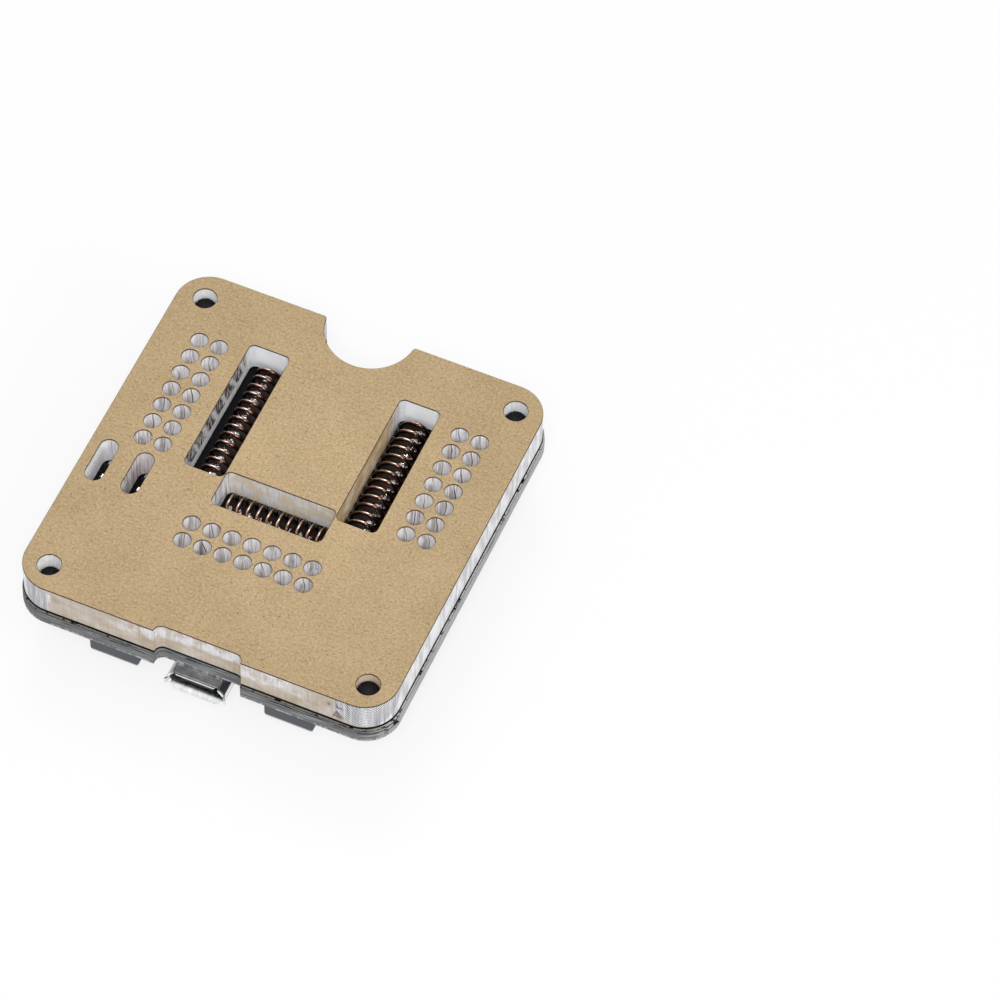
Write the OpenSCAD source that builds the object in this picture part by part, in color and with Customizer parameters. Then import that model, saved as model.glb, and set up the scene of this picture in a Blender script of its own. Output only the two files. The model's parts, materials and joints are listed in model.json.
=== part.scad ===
// Programming fixture for a castellated radio module.
// It lies on its component side, with the paper-covered acrylic plate on top.
// The origin is the middle of the four corner screws, on the paper's top face.

/* [Plate stack] */
// Width of the acrylic plate
plate_w = 46.7; // [46:0.1:56]
// From the middle of the corner screws to the front edge
plate_front = 24.1; // [24:0.1:28]
// From the middle of the corner screws to the back edge
plate_back = 24.3; // [23.5:0.1:28]
// Radius of the plate's corners
plate_corner_r = 4.2; // [2:0.1:4.5]
// Thickness of the kraft paper left on the acrylic
paper_t = 0.15; // [0.1:0.05:0.3]
// Thickness of the acrylic plate
acrylic_t = 4; // [3:0.5:6]
// Air gap between the acrylic and the circuit board
board_gap = 0.25; // [0.1:0.05:0.4]
// Thickness of the circuit board
board_t = 2; // [1.6:0.1:2.4]
// How far the board's side edges stand out past the acrylic
board_side_out = 0.15; // [0:0.05:0.3]
// How far the board's front edge stands out past the acrylic
board_front_out = 0.3; // [0:0.05:0.4]
// How far the board's middle lies to the right of the acrylic's
board_shift = 0.1; // [0:0.05:0.2]

/* [Finger notch] */
// Radius of the notch in the back edge
notch_r = 5.6; // [4.5:0.1:6.5]
// Middle of the notch, from the middle of the plate
notch_x = -0.15; // [-1:0.05:1]
// How far the notch's centre lies behind the back edge
notch_setback = 0.35; // [0.1:0.05:1]
// Radius of the notch's two lips
notch_lip_r = 0.4; // [0.2:0.1:0.8]

/* [Corner screws] */
// Spacing of the corner screws from left to right
screw_spacing_x = 39.9; // [38:0.1:41]
// Spacing of the corner screws from front to back
screw_spacing_y = 41.6; // [40:0.1:42]
// Hole in the paper and the acrylic
screw_hole_d = 2.85; // [2.8:0.05:3.1]
// Hole in the circuit board
board_hole_d = 3.2; // [3.2:0.1:3.6]
// Outside of the screw's thread
screw_d = 2.75; // [2.5:0.05:2.75]
// Diameter of the pan head
screw_head_d = 5.4; // [4.5:0.1:6]
// Height of the pan head
screw_head_h = 1.9; // [1.5:0.1:2.4]
// Depth of each screw's end below the paper, clockwise from front left
screw_end_depths = [2.1, 1.55, 1.65, 1.05];

/* [Module contacts] */
// Width of the module that the fixture takes
module_w = 18; // [17.5:0.1:18.5]
// Spacing of the module's pads
pad_pitch = 1.27; // [1.2:0.01:1.27]
// Contacts in each side row
side_contacts = 14; // [8:1:14]
// Contacts in the front row
front_contacts_n = 10; // [6:1:10]
// Middle of the side rows, from the middle of the plate
side_row_y = 7.65; // [7:0.05:8]
// Where the front row's legs go through the board
front_leg_y = -1; // [-1.3:0.1:-0.8]
// How far in from the module's edge a leg goes through the board
leg_inset = 1.5; // [1.2:0.1:1.7]
// Diameter of the spring wire
wire_d = 0.45; // [0.35:0.05:0.5]
// Bend radius of the arch over the board, inner side
arch_r = 2; // [1.6:0.1:2.2]
// Straight stretch along the top of the arch
arch_flat = 0.1; // [0.05:0.05:0.3]
// Bend radius of the arch, outer side
crown_r = 1.3; // [1.1:0.1:1.4]
// Bend radius where the wire turns back under the arch
curl_r = 0.5; // [0.45:0.05:0.7]
// Bend radius of the hook that meets the module's pad
hook_r = 0.45; // [0.4:0.05:0.5]
// Straight part of the leg below the board
hook_drop = 0.75; // [0.6:0.05:1]
// Straight end of the hook
hook_end = 0.15; // [0.1:0.05:0.2]

/* [Slots over the contacts] */
// Width of the two side slots
side_slot_w = 5.1; // [4.9:0.1:5.4]
// Width of the front slot
front_slot_w = 4.9; // [4.9:0.1:5.2]
// Gap between the contact legs and the slot's inner wall
slot_leg_gap = 0.42; // [0.35:0.01:0.5]
// How far the side slots run past their end contacts
side_slot_end = 1.1; // [0.8:0.1:1.2]
// Web between the front slot and each side slot
slot_web = 0.12; // [0.08:0.02:0.3]
// Corner radius of the slots
slot_corner_r = 0.7; // [0.4:0.1:1]

/* [Pin headers] */
// Spacing of the header pins
pin_pitch = 2.54; // [2.5:0.01:2.54]
// Pins in each row of a header
pin_columns = 7; // [4:1:7]
// Middle of the side headers, from the middle of the plate
side_header_x = 16.67; // [16.4:0.01:17.2]
// Middle of the side headers, from front to back
side_header_y = 7.35; // [7.2:0.05:8]
// Middle of the front header
front_header_y = -10.22; // [-10.4:0.01:-9.8]
// Clearance hole in the acrylic round each pin's tail
tail_hole_d = 2.06; // [1.8:0.02:2.2]
// Thickness of the square pins
pin_w = 0.64; // [0.5:0.02:0.64]
// Plated hole in the board for each pin
pin_hole_d = 1; // [0.95:0.05:1.1]
// Height of the header's plastic base
header_base_h = 2.5; // [2.3:0.1:3]
// Length of the pins below the base
pin_reach = 6; // [6:0.1:8]
// Length of the pin's tail above the board
pin_tail = 1.3; // [1:0.1:1.8]
// Height of the solder round each tail
tail_solder_h = 0.9; // [0.6:0.1:0.9]

/* [Push switches] */
// Distance of the two push switches from the board's middle
push_x = 11; // [10.5:0.05:11.5]
// Setback of the push switches from the board's front edge
push_setback = 0.9; // [0.6:0.1:1.2]
// Width and depth of a push switch
push_w = 6.1; // [5.8:0.1:6.3]
// Height of the switch's plastic base
push_base_h = 3.2; // [3:0.1:3.6]
// Thickness of the steel cover
push_cover_t = 0.3; // [0.2:0.05:0.4]
// Diameter of the round button
push_button_d = 3.5; // [3:0.1:3.6]
// How far the button stands out of the cover
push_button_out = 1.5; // [1:0.1:2.5]
// Travel of the button
push_travel = 0.25; // [0.2:0.05:0.3]

/* [Power switch] */
// Middle of the latching power switch, from left to right
power_x = -18.6; // [-18.7:0.05:-18.4]
// Middle of the latching power switch, from front to back
power_y = -5.15; // [-5.4:0.05:-5]
// Width and depth of the power switch
power_w = 5.8; // [5.6:0.1:6]
// Height of the switch's housing
power_h = 5.2; // [5:0.1:5.4]
// Width of the square plunger
power_plunger_w = 3; // [2.8:0.1:3.2]
// How far the plunger stands out of the clip
power_plunger_out = 2.3; // [2:0.1:2.4]
// Travel of the plunger until it latches
power_travel = 1.5; // [1:0.1:1.6]
// Spacing of the two rows of terminals
power_row_spacing = 4.6; // [4.4:0.1:4.6]
// Spacing of the terminals in a row
power_pin_pitch = 2; // [1.9:0.05:2.1]
// Width of the acrylic's slots over the terminals
power_slot_w = 2.2; // [2:0.1:2.4]
// Length of the acrylic's slots over the terminals
power_slot_l = 6.1; // [6:0.1:6.6]

/* [USB socket] */
// Width of the recess in the front edge
usb_recess_w = 10.9; // [10.4:0.1:11.8]
// Middle of the recess, from the middle of the plate
usb_recess_x = 0.15; // [-0.2:0.05:0.3]
// Depth of the recess in the front edge
usb_recess_depth = 1; // [0.8:0.1:1.2]
// Width of the socket's wide side
usb_w = 7.2; // [7:0.1:7.6]
// Width of the socket's narrow side, next to the board
usb_narrow_w = 5.5; // [5.2:0.1:5.7]
// Height of the socket
usb_h = 2.6; // [2.5:0.05:2.8]
// Depth of the socket from its mouth to its back
usb_depth = 5; // [4.8:0.1:5.6]
// How far the mouth stands in front of the board's front edge
usb_out = 0; // [0:0.1:0.4]
// Sheet thickness of the shell
usb_sheet = 0.25; // [0.2:0.05:0.3]
// Reach of the flared lips in front of the mouth
usb_lip = 0.4; // [0.2:0.05:0.5]

/* [Small parts] */
// Length of the serial chip's body
chip_l = 9.9; // [9.7:0.1:10.1]
// Width of the serial chip's body
chip_w = 3.9; // [3.8:0.1:4]
// Height of the serial chip's body
chip_h = 1.5; // [1.4:0.1:1.8]
// Length of the voltage regulator's body
regulator_l = 6.5; // [6.3:0.1:6.7]
// Width of the voltage regulator's body
regulator_w = 3.5; // [3.3:0.1:3.7]
// Height of the voltage regulator's body
regulator_h = 1.6; // [1.5:0.1:1.8]
// Spacing of the serial chip's leads
chip_lead_pitch = 1.27; // [1.2:0.01:1.27]
// Reach of the serial chip's leads beyond its body
chip_lead_reach = 1.05; // [0.9:0.05:1.2]
// Spacing of the voltage regulator's leads
regulator_lead_pitch = 2.3; // [2:0.1:2.4]
// Reach of the voltage regulator's leads beyond its body
regulator_lead_reach = 1.7; // [1.4:0.1:1.9]
// Width of the voltage regulator's cooling tab
regulator_tab_w = 3; // [2.6:0.1:3.2]
// Length of a transistor's body
transistor_l = 2.9; // [2.7:0.1:3.1]
// Width of a transistor's body
transistor_w = 1.3; // [1.2:0.1:1.4]
// Height of a transistor's body
transistor_h = 1; // [0.9:0.1:1.1]
// Spacing of a transistor's two leads
transistor_lead_pitch = 1.9; // [1.7:0.1:2]
// Reach of a transistor's leads beyond its body
transistor_lead_reach = 0.6; // [0.5:0.05:0.7]

/* [Hidden] */
$fn = 48;

// Heights of the stack, measured down from the paper's top face
acrylic_top = -paper_t;
acrylic_bottom = acrylic_top - acrylic_t;
board_top = acrylic_bottom - board_gap;
board_bottom = board_top - board_t;
board_front = plate_front + board_front_out;
// Extra length of a cutting shape, so that it passes its faces
past = 1;

// Contact wire, in its own plane: s outwards from the plate's middle, z up from the board
pad_t = 0.05;
wire_r = wire_d / 2;
leg_s = module_w / 2 - leg_inset;
arch_s = leg_s + arch_r;
crown_s = arch_s + arch_flat;
outer_s = crown_s + crown_r;
foot_s = outer_s - curl_r;
// The wire's foot lies a little sunk in its pad
foot_z = pad_t + 0.9 * wire_r;
crown_z = foot_z + curl_r;
top_z = crown_z + crown_r;
leg_top_z = top_z - arch_r;
hook_z = -board_t - hook_drop;
// The soldered foot stops this far before the part of the wire that flexes
flex_gap = 0.05;
solder_r = 0.45;
solder_top_r = 0.16;
solder_h = 0.5;
pad_rim = 0.05;
solder_s = foot_s - flex_gap - solder_r - pad_rim;
// Slot in the board that a leg moves in
leg_slot_in = 0.8;
leg_slot_out = 0.38;
leg_slot_w = wire_d + 0.35;

// Small leads and terminals
lead_t = 0.2;
lead_w = 0.4;
wide_lead_w = 0.7;
// Gap under a moulded body
body_lift = 0.05;
fit = 0.08;
push_lead_reach = 1.6;
push_lead_height = 0.7;
push_chamfer = 0.15;
push_cavity_room = 0.5;
push_cavity_d = push_button_d + 2 * push_cavity_room;
push_flange_d = push_button_d + 0.7;
push_flange_t = 0.6;
push_stem_below = 0.9;
push_y = push_setback + push_w / 2 - board_front;
post_d = 0.8;
post_inset = 0.8;
clip_t = 0.3;
power_pin_w = 0.5;
power_pin_t = 0.3;
power_pin_tail = 1.2;
power_plunger_in = 1.6;
power_flange = 0.2;
power_flange_t = 0.6;
usb_y = -board_front - usb_out;
screw_recess_w = 0.6;
screw_recess_depth = 1;
usb_bevel_h = usb_h * 0.42;
usb_lip_end = 0.6;
usb_narrow_lip_end = 0.3;
usb_tab_l = 1.4;
usb_tab_out = 0.5;
usb_back_l = 2;
tongue_w = 3.8;
tongue_t = 0.6;
// Space between the tongue and the wide side of the shell
tongue_room = 1;
tongue_z = usb_h - usb_sheet - tongue_room;
tongue_setback = 0.5;
strip_w = 0.28;
strip_t = 0.15;
strip_pitch = 0.65;
strip_setback = 0.7;
usb_tail_l = 0.9;

// Places of the small parts on the component side: x, y and the turn about Z
chip_spot = [15.2, -13.2, 0];
regulator_spot = [-14.6, -13, 90];
transistor_spots = [[12.6, -6.2, 0], [17.4, -6.2, 0]];
resistor_spots = [[11.2, -3.6, 0], [13.9, -3.6, 0], [16.6, -3.6, 0], [-3.6, -15.4, 90],
                  [-1.2, -15.4, 90], [1.2, -15.4, 90], [3.6, -15.4, 90]];
capacitor_spots = [[-9.2, -15.2, 90], [-6.6, -15.2, 90], [6.6, -15.2, 90], [20.6, -6.4, 90]];
led_spots = [[-20.9, -11.6, 90], [-20.9, -14.8, 90]];
resistor_size = [1.6, 0.8, 0.45];
capacitor_size = [2, 1.25, 1.1];
led_size = [2, 1.25, 0.8];
end_cap_l = 0.35;

// Outlines

module rounded_rect(w, d, r) {
    square([w - 2 * r, d], center = true);
    square([w, d - 2 * r], center = true);
    for (x = [-1, 1], y = [-1, 1])
        translate([x * (w / 2 - r), y * (d / 2 - r)]) circle(r);
}

module obround(l, w) {
    square([l - w, w], center = true);
    for (x = [-1, 1]) translate([x * (l - w) / 2, 0]) circle(d = w);
}

// One lip of the finger notch: the sharp corner outside its rounding
module notch_lip(side) {
    rise = notch_setback + notch_lip_r;
    reach = sqrt(pow(notch_r + notch_lip_r, 2) - pow(rise, 2));
    corner = sqrt(pow(notch_r, 2) - pow(notch_setback, 2));
    touch = notch_r / (notch_r + notch_lip_r);
    difference() {
        polygon([
            [side * corner, plate_back + past],
            [side * reach, plate_back + past],
            [side * reach, plate_back - notch_lip_r],
            [side * reach * touch, plate_back + notch_setback - rise * touch]
        ]);
        translate([side * reach, plate_back - notch_lip_r]) circle(notch_lip_r);
    }
}

// The outline that the paper, the acrylic and the slightly larger board share
module plate_outline(side_out = 0, front_out = 0, shift = 0) {
    difference() {
        translate([shift, (plate_back - plate_front - front_out) / 2])
            rounded_rect(plate_w + 2 * side_out, plate_front + front_out + plate_back, plate_corner_r);
        translate([notch_x, 0]) {
            translate([0, plate_back + notch_setback]) circle(notch_r, $fn = 96);
            notch_lip(-1);
            notch_lip(1);
        }
        translate([usb_recess_x, -plate_front]) {
            obround(usb_recess_w, 2 * usb_recess_depth);
            translate([0, -past]) square([usb_recess_w, 2 * past], center = true);
        }
    }
}

module corner_holes(d) {
    for (x = [-1, 1], y = [-1, 1])
        translate([x * screw_spacing_x / 2, y * screw_spacing_y / 2]) circle(d = d);
}

// Children at each pin of one header, about its middle
module each_pin() {
    for (column = [0 : pin_columns - 1], row = [-0.5, 0.5])
        translate([row * pin_pitch, (column - (pin_columns - 1) / 2) * pin_pitch, 0]) children();
}

module at_left_header() translate([-side_header_x, side_header_y, 0]) children();
module at_right_header() translate([side_header_x, side_header_y, 0]) children();
module at_front_header() translate([0, front_header_y, 0]) rotate([0, 0, 90]) children();

module each_header_pin() {
    at_left_header() each_pin() children();
    at_right_header() each_pin() children();
    at_front_header() each_pin() children();
}

// Children at each contact, with the wire's own x axis pointing outwards
module right_row() {
    for (k = [0 : side_contacts - 1])
        translate([0, side_row_y + (k - (side_contacts - 1) / 2) * pad_pitch, 0]) children();
}

module left_row() mirror([1, 0, 0]) right_row() children();

module front_row() {
    for (k = [0 : front_contacts_n - 1])
        translate([(k - (front_contacts_n - 1) / 2) * pad_pitch, front_leg_y + leg_s, 0])
            rotate([0, 0, -90]) children();
}

module contact_slots() {
    side_l = (side_contacts - 1) * pad_pitch + 2 * side_slot_end;
    front_l = 2 * (leg_s - slot_leg_gap - slot_web);
    for (side = [-1, 1])
        translate([side * (leg_s - slot_leg_gap + side_slot_w / 2), side_row_y])
            rounded_rect(side_slot_w, side_l, slot_corner_r);
    translate([0, front_leg_y + slot_leg_gap - front_slot_w / 2])
        rounded_rect(front_l, front_slot_w, slot_corner_r);
}

module power_slots() {
    for (side = [-1, 1])
        translate([power_x + side * power_row_spacing / 2, power_y])
            rotate([0, 0, 90]) obround(power_slot_l, power_slot_w);
}

// Everything that is cut through the paper and the acrylic together
module cover_outline() {
    difference() {
        plate_outline();
        corner_holes(screw_hole_d);
        each_header_pin() circle(d = tail_hole_d);
        contact_slots();
        power_slots();
    }
}

// Plate stack

module protective_paper() {
    color([0.76, 0.65, 0.49])
        translate([0, 0, acrylic_top]) linear_extrude(paper_t) cover_outline();
}

module acrylic_plate() {
    color([0.86, 0.9, 0.92, 0.5])
        translate([0, 0, acrylic_bottom]) linear_extrude(acrylic_t) cover_outline();
}

module each_power_pin() {
    for (x = [-1, 1], y = [-1, 0, 1])
        translate([power_x + x * power_row_spacing / 2, power_y + y * power_pin_pitch, 0])
            children();
}

module leg_slot() {
    translate([leg_s + (leg_slot_out - leg_slot_in) / 2, 0])
        obround(leg_slot_in + leg_slot_out, leg_slot_w);
}

module circuit_board() {
    color([0.07, 0.07, 0.08])
        translate([0, 0, board_bottom]) linear_extrude(board_t)
            difference() {
                plate_outline(board_side_out, board_front_out, board_shift);
                corner_holes(board_hole_d);
                each_header_pin() circle(d = pin_hole_d, $fn = 24);
                each_power_pin() circle(d = power_pin_w + 0.4, $fn = 24);
                left_row() leg_slot();
                right_row() leg_slot();
                front_row() leg_slot();
            }
}

// One screw from its end down to the cross recess in its head
module screw(end_depth) {
    tip = 0.4;
    dome_r = screw_head_d * 0.75;
    length = -board_bottom - end_depth;
    translate([0, 0, -end_depth - tip]) cylinder(h = tip, d1 = screw_d, d2 = screw_d - tip);
    translate([0, 0, board_bottom]) cylinder(h = length - tip, d = screw_d);
    translate([0, 0, board_bottom]) mirror([0, 0, 1])
        difference() {
            intersection() {
                cylinder(h = screw_head_h, d = screw_head_d);
                translate([0, 0, screw_head_h - dome_r]) sphere(dome_r, $fn = 96);
            }
            for (turn = [0, 90]) rotate([0, 0, turn])
                translate([-screw_head_d * 0.3, -screw_recess_w / 2, screw_head_h - screw_recess_depth])
                    cube([screw_head_d * 0.6, screw_recess_w, screw_recess_depth + past]);
        }
}

module corner_screws() {
    corners = [[-1, -1], [-1, 1], [1, 1], [1, -1]];
    color([0.09, 0.09, 0.1])
        for (k = [0 : 3])
            translate([corners[k][0] * screw_spacing_x / 2, corners[k][1] * screw_spacing_y / 2, 0])
                screw(screw_end_depths[k]);
}

// Spring contacts

// A bend of the wire about a centre, from one angle to another
module bend(s, z, r, from, to) {
    translate([s, z, 0]) rotate([0, 0, from])
        rotate_extrude(angle = to - from) translate([r, 0]) circle(wire_r, $fn = 24);
}

// A straight stretch of the wire, from one point towards an angle
module straight(s, z, angle, length) {
    translate([s, z, 0]) rotate([0, 0, angle]) rotate([0, 90, 0])
        cylinder(h = length, r = wire_r, $fn = 24);
}

// The part of one contact that flexes: curl, arch, leg and hook
module contact_loop() {
    color([0.45, 0.24, 0.15])
        translate([0, 0, board_top]) rotate([90, 0, 0]) {
            bend(foot_s, crown_z, curl_r, -90, 0);
            bend(crown_s, crown_z, crown_r, 0, 90);
            straight(arch_s, top_z, 0, arch_flat);
            bend(arch_s, leg_top_z, arch_r, 90, 180);
            straight(leg_s, hook_z, 90, leg_top_z - hook_z);
            bend(leg_s + hook_r, hook_z, hook_r, 180, 360);
            straight(leg_s + 2 * hook_r, hook_z, 90, hook_end);
        }
}

module left_contacts() left_row() contact_loop();
module right_contacts() right_row() contact_loop();
module front_contacts() front_row() contact_loop();

// Pad, solder and the wire's soldered foot, as one piece
module contact_joint() {
    pad_l = 2 * solder_r + 0.6;
    pad_w = 2 * (solder_r + pad_rim);
    foot_end = foot_s - flex_gap;
    color([0.78, 0.79, 0.8])
        translate([0, 0, board_top]) {
            translate([foot_end - pad_l, -pad_w / 2, 0]) cube([pad_l, pad_w, pad_t]);
            translate([solder_s, 0, pad_t / 2])
                cylinder(h = solder_h, r1 = solder_r, r2 = solder_top_r, $fn = 32);
            translate([foot_end, 0, foot_z]) rotate([0, -90, 0])
                cylinder(h = foot_end - solder_s, r = wire_r, $fn = 24);
        }
}

module left_contact_solder() left_row() contact_joint();
module right_contact_solder() right_row() contact_joint();
module front_contact_solder() front_row() contact_joint();

// Pin headers

// A square pin with both ends tapered, upright about z = 0
module tapered_pin(w, low, high, taper) {
    half = w / 2;
    tip = half / 2;
    side = [[-tip, low], [tip, low], [half, low + taper], [half, high - taper],
            [tip, high], [-tip, high], [-half, high - taper], [-half, low + taper]];
    intersection() {
        rotate([90, 0, 0]) linear_extrude(2 * w, center = true) polygon(side);
        rotate([90, 0, 90]) linear_extrude(2 * w, center = true) polygon(side);
    }
}

module header_pins() {
    low = board_bottom - header_base_h - pin_reach;
    color([0.83, 0.68, 0.36]) each_pin() tapered_pin(pin_w, low, board_top + pin_tail, 0.5);
}

// The plastic base, with the chamfered waists between its pairs of pins
module header_base() {
    wide = pin_pitch;
    half = pin_pitch / 2;
    nick = 0.35;
    color([0.08, 0.08, 0.09])
        translate([0, 0, board_bottom - header_base_h]) linear_extrude(header_base_h)
            difference() {
                union() {
                    square([2 * (wide - nick), pin_columns * pin_pitch], center = true);
                    for (column = [0 : pin_columns - 1])
                        translate([0, (column - (pin_columns - 1) / 2) * pin_pitch])
                            polygon([[-wide, nick - half], [nick - wide, -half], [wide - nick, -half],
                                     [wide, nick - half], [wide, half - nick], [wide - nick, half],
                                     [nick - wide, half], [-wide, half - nick]]);
                }
                each_pin() square(pin_w, center = true);
            }
}

module left_header_base() at_left_header() header_base();
module right_header_base() at_right_header() header_base();
module front_header_base() at_front_header() header_base();
module left_header_pins() at_left_header() header_pins();
module right_header_pins() at_right_header() header_pins();
module front_header_pins() at_front_header() header_pins();

module solder_cone(bottom_r, top_r, hole) {
    translate([0, 0, board_top])
        difference() {
            cylinder(h = tail_solder_h, r1 = bottom_r, r2 = top_r, $fn = 24);
            translate([-hole[0] / 2, -hole[1] / 2, -past])
                cube([hole[0], hole[1], tail_solder_h + 2 * past]);
        }
}

module header_solder() {
    color([0.78, 0.79, 0.8])
        each_header_pin() solder_cone(0.8, pin_w * 0.75, [pin_w, pin_w]);
}

// Parts below the board are drawn upwards and then turned over onto its lower face
module under_board() translate([0, 0, board_bottom]) mirror([0, 0, 1]) children();

module at_spot(spot) translate([spot[0], spot[1], 0]) rotate([0, 0, spot[2]]) children();

// A bent lead that leaves a body's side at a height and ends flat on the board
module gull_lead(reach, height, w) {
    toe = reach * 0.55;
    rotate([90, 0, 0]) linear_extrude(w, center = true)
        polygon([
            [0, height], [reach - toe, height], [reach - toe + lead_t, lead_t],
            [reach, lead_t], [reach, 0], [reach - toe, 0],
            [reach - toe - lead_t, height - lead_t], [0, height - lead_t]
        ]);
}

// USB socket

// Cross-section of the shell: narrow towards the board, wide away from it
module usb_section(inset) {
    wide = usb_w / 2 - inset;
    narrow = usb_narrow_w / 2 - inset * 0.6;
    polygon([
        [-narrow, inset], [narrow, inset], [wide, usb_bevel_h], [wide, usb_h - inset],
        [-wide, usb_h - inset], [-wide, usb_bevel_h]
    ]);
}

// A flared lip in front of the mouth, bent outwards from the sheet
module usb_flare(w) {
    spread = usb_lip * 0.7;
    rotate([90, 0, 90]) linear_extrude(w, center = true)
        polygon([[0, 0], [0, -usb_sheet], [-usb_lip, spread - usb_sheet], [-usb_lip, spread]]);
}

module usb_shell() {
    side_mid = usb_h * 0.7;
    bevel_tilt = atan((usb_w - usb_narrow_w) / 2 / usb_bevel_h);
    color([0.75, 0.76, 0.78])
        under_board() translate([0, usb_y, 0]) {
            rotate([90, 0, 0]) mirror([0, 0, 1]) linear_extrude(usb_depth)
                difference() {
                    usb_section(0);
                    usb_section(usb_sheet);
                }
            translate([0, 0, usb_h]) usb_flare(usb_w - 2 * usb_lip_end);
            mirror([0, 0, 1]) usb_flare(usb_narrow_w - 2 * usb_narrow_lip_end);
            for (side = [-1, 1]) {
                translate([side * usb_w / 2, 0, side_mid]) rotate([0, side * 90, 0])
                    usb_flare(usb_h * 0.35);
                translate([side * (usb_w + usb_narrow_w) / 4, 0, usb_bevel_h / 2])
                    rotate([0, side * (90 + bevel_tilt), 0]) usb_flare(usb_bevel_h * 0.7);
                translate([side * (usb_w / 2 - usb_sheet), usb_depth * 0.55, 0]) tab_foot(side);
            }
        }
}

// A fixing tab that runs down the shell's side and turns out onto the board
module tab_foot(side) {
    rise = usb_h * 0.6;
    mirror([side < 0 ? 1 : 0, 0, 0]) translate([0, -usb_tab_l / 2, 0]) {
        cube([usb_sheet, usb_tab_l, rise]);
        cube([usb_sheet + usb_tab_out, usb_tab_l, usb_sheet]);
    }
}

module usb_insulator() {
    color([0.07, 0.07, 0.08])
        under_board() translate([0, usb_y, 0])
            difference() {
                union() {
                    translate([0, usb_depth, 0]) rotate([90, 0, 0])
                        linear_extrude(usb_back_l) usb_section(usb_sheet);
                    translate([-tongue_w / 2, tongue_setback, tongue_z])
                        cube([tongue_w, usb_depth - 2 * tongue_setback, tongue_t]);
                }
                usb_strips();
            }
}

// The five strips on the tongue, which end as tails behind the shell
module usb_strips() {
    for (k = [-2 : 2])
        translate([k * strip_pitch - strip_w / 2, strip_setback, tongue_z])
            cube([strip_w, usb_depth - strip_setback, strip_t]);
}

module usb_tail() {
    translate([-strip_w / 2, usb_depth, 0]) {
        cube([strip_w, strip_t, tongue_z + strip_t]);
        cube([strip_w, usb_tail_l, strip_t]);
    }
}

module usb_terminals() {
    color([0.83, 0.68, 0.36])
        under_board() translate([0, usb_y, 0]) {
            usb_strips();
            for (k = [-2 : 2]) translate([k * strip_pitch, 0, 0]) usb_tail();
        }
}

// Push switches for boot and reset

module each_post() {
    for (x = [-1, 1], y = [-1, 1])
        translate([x * (push_w / 2 - post_inset), y * (push_w / 2 - post_inset), 0]) children();
}

module push_outline(inset) {
    half = push_w / 2 - inset;
    cut = half - push_chamfer;
    polygon([[-half, -cut], [-cut, -half], [cut, -half], [half, -cut],
             [half, cut], [cut, half], [-cut, half], [-half, cut]]);
}

module push_base() {
    cavity_floor = push_base_h - push_flange_t - push_stem_below - push_travel - 0.3;
    color([0.32, 0.34, 0.37])
        under_board() translate([0, push_y, 0]) {
            difference() {
                linear_extrude(push_base_h) push_outline(0);
                translate([0, 0, cavity_floor]) cylinder(h = push_base_h, d = push_cavity_d);
            }
            each_post() cylinder(h = push_base_h + push_cover_t + 0.1, d = post_d, $fn = 24);
        }
}

module push_cover() {
    color([0.72, 0.73, 0.75])
        under_board() translate([0, push_y, push_base_h])
            difference() {
                linear_extrude(push_cover_t) push_outline(0.05);
                translate([0, 0, -past]) {
                    cylinder(h = push_cover_t + 2 * past, d = push_button_d + 2 * fit);
                    each_post() cylinder(h = push_cover_t + 2 * past, d = post_d, $fn = 24);
                }
            }
}

module push_leads() {
    color([0.78, 0.79, 0.8])
        under_board() translate([0, push_y, 0])
            for (x = [0, 1], y = [-1, 1])
                mirror([x, 0, 0]) translate([push_w / 2, y * push_w * 0.375, 0])
                    gull_lead(push_lead_reach, push_lead_height, wide_lead_w);
}

module push_button() {
    flange_top = push_base_h - 0.05;
    stem_bottom = flange_top - push_flange_t - push_stem_below;
    rim = 0.3;
    out = push_base_h + push_cover_t + push_button_out;
    color([0.1, 0.1, 0.11])
        under_board() translate([0, push_y, 0]) {
            translate([0, 0, stem_bottom])
                cylinder(h = flange_top - stem_bottom, d = push_button_d - 1);
            translate([0, 0, flange_top - push_flange_t])
                cylinder(h = push_flange_t, d = push_flange_d);
            translate([0, 0, flange_top])
                cylinder(h = out - rim - flange_top, d = push_button_d);
            translate([0, 0, out - rim])
                cylinder(h = rim, d1 = push_button_d, d2 = push_button_d - 2 * rim);
        }
}

module at_boot() translate([board_shift - push_x, 0, 0]) children();
module at_reset() translate([board_shift + push_x, 0, 0]) children();
module boot_switch_base() at_boot() push_base();
module boot_switch_cover() at_boot() push_cover();
module boot_switch_leads() at_boot() push_leads();
module boot_button() at_boot() push_button();
module reset_switch_base() at_reset() push_base();
module reset_switch_cover() at_reset() push_cover();
module reset_switch_leads() at_reset() push_leads();
module reset_button() at_reset() push_button();

// Latching power switch

module power_switch_housing() {
    well = power_plunger_w + 0.6;
    well_floor = power_h - power_plunger_in - power_travel - 0.3;
    color([0.13, 0.13, 0.14])
        under_board() translate([power_x, power_y, 0])
            difference() {
                linear_extrude(power_h) rounded_rect(power_w, power_w, 0.3);
                translate([-well / 2, -well / 2, well_floor]) cube([well, well, power_h]);
            }
}

// Steel clip over the housing's face and down two of its sides
module power_switch_clip() {
    hole = power_plunger_w + 2 * fit;
    leg_w = 3;
    color([0.72, 0.73, 0.75])
        under_board() translate([power_x, power_y, 0]) {
            translate([0, 0, power_h]) linear_extrude(clip_t)
                difference() {
                    square([power_w, power_w], center = true);
                    square([hole, hole], center = true);
                }
            for (side = [-1, 1])
                translate([-leg_w / 2, side * (power_w + clip_t) / 2 - clip_t / 2, power_h * 0.3])
                    cube([leg_w, clip_t, power_h * 0.7 + clip_t]);
        }
}

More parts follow.
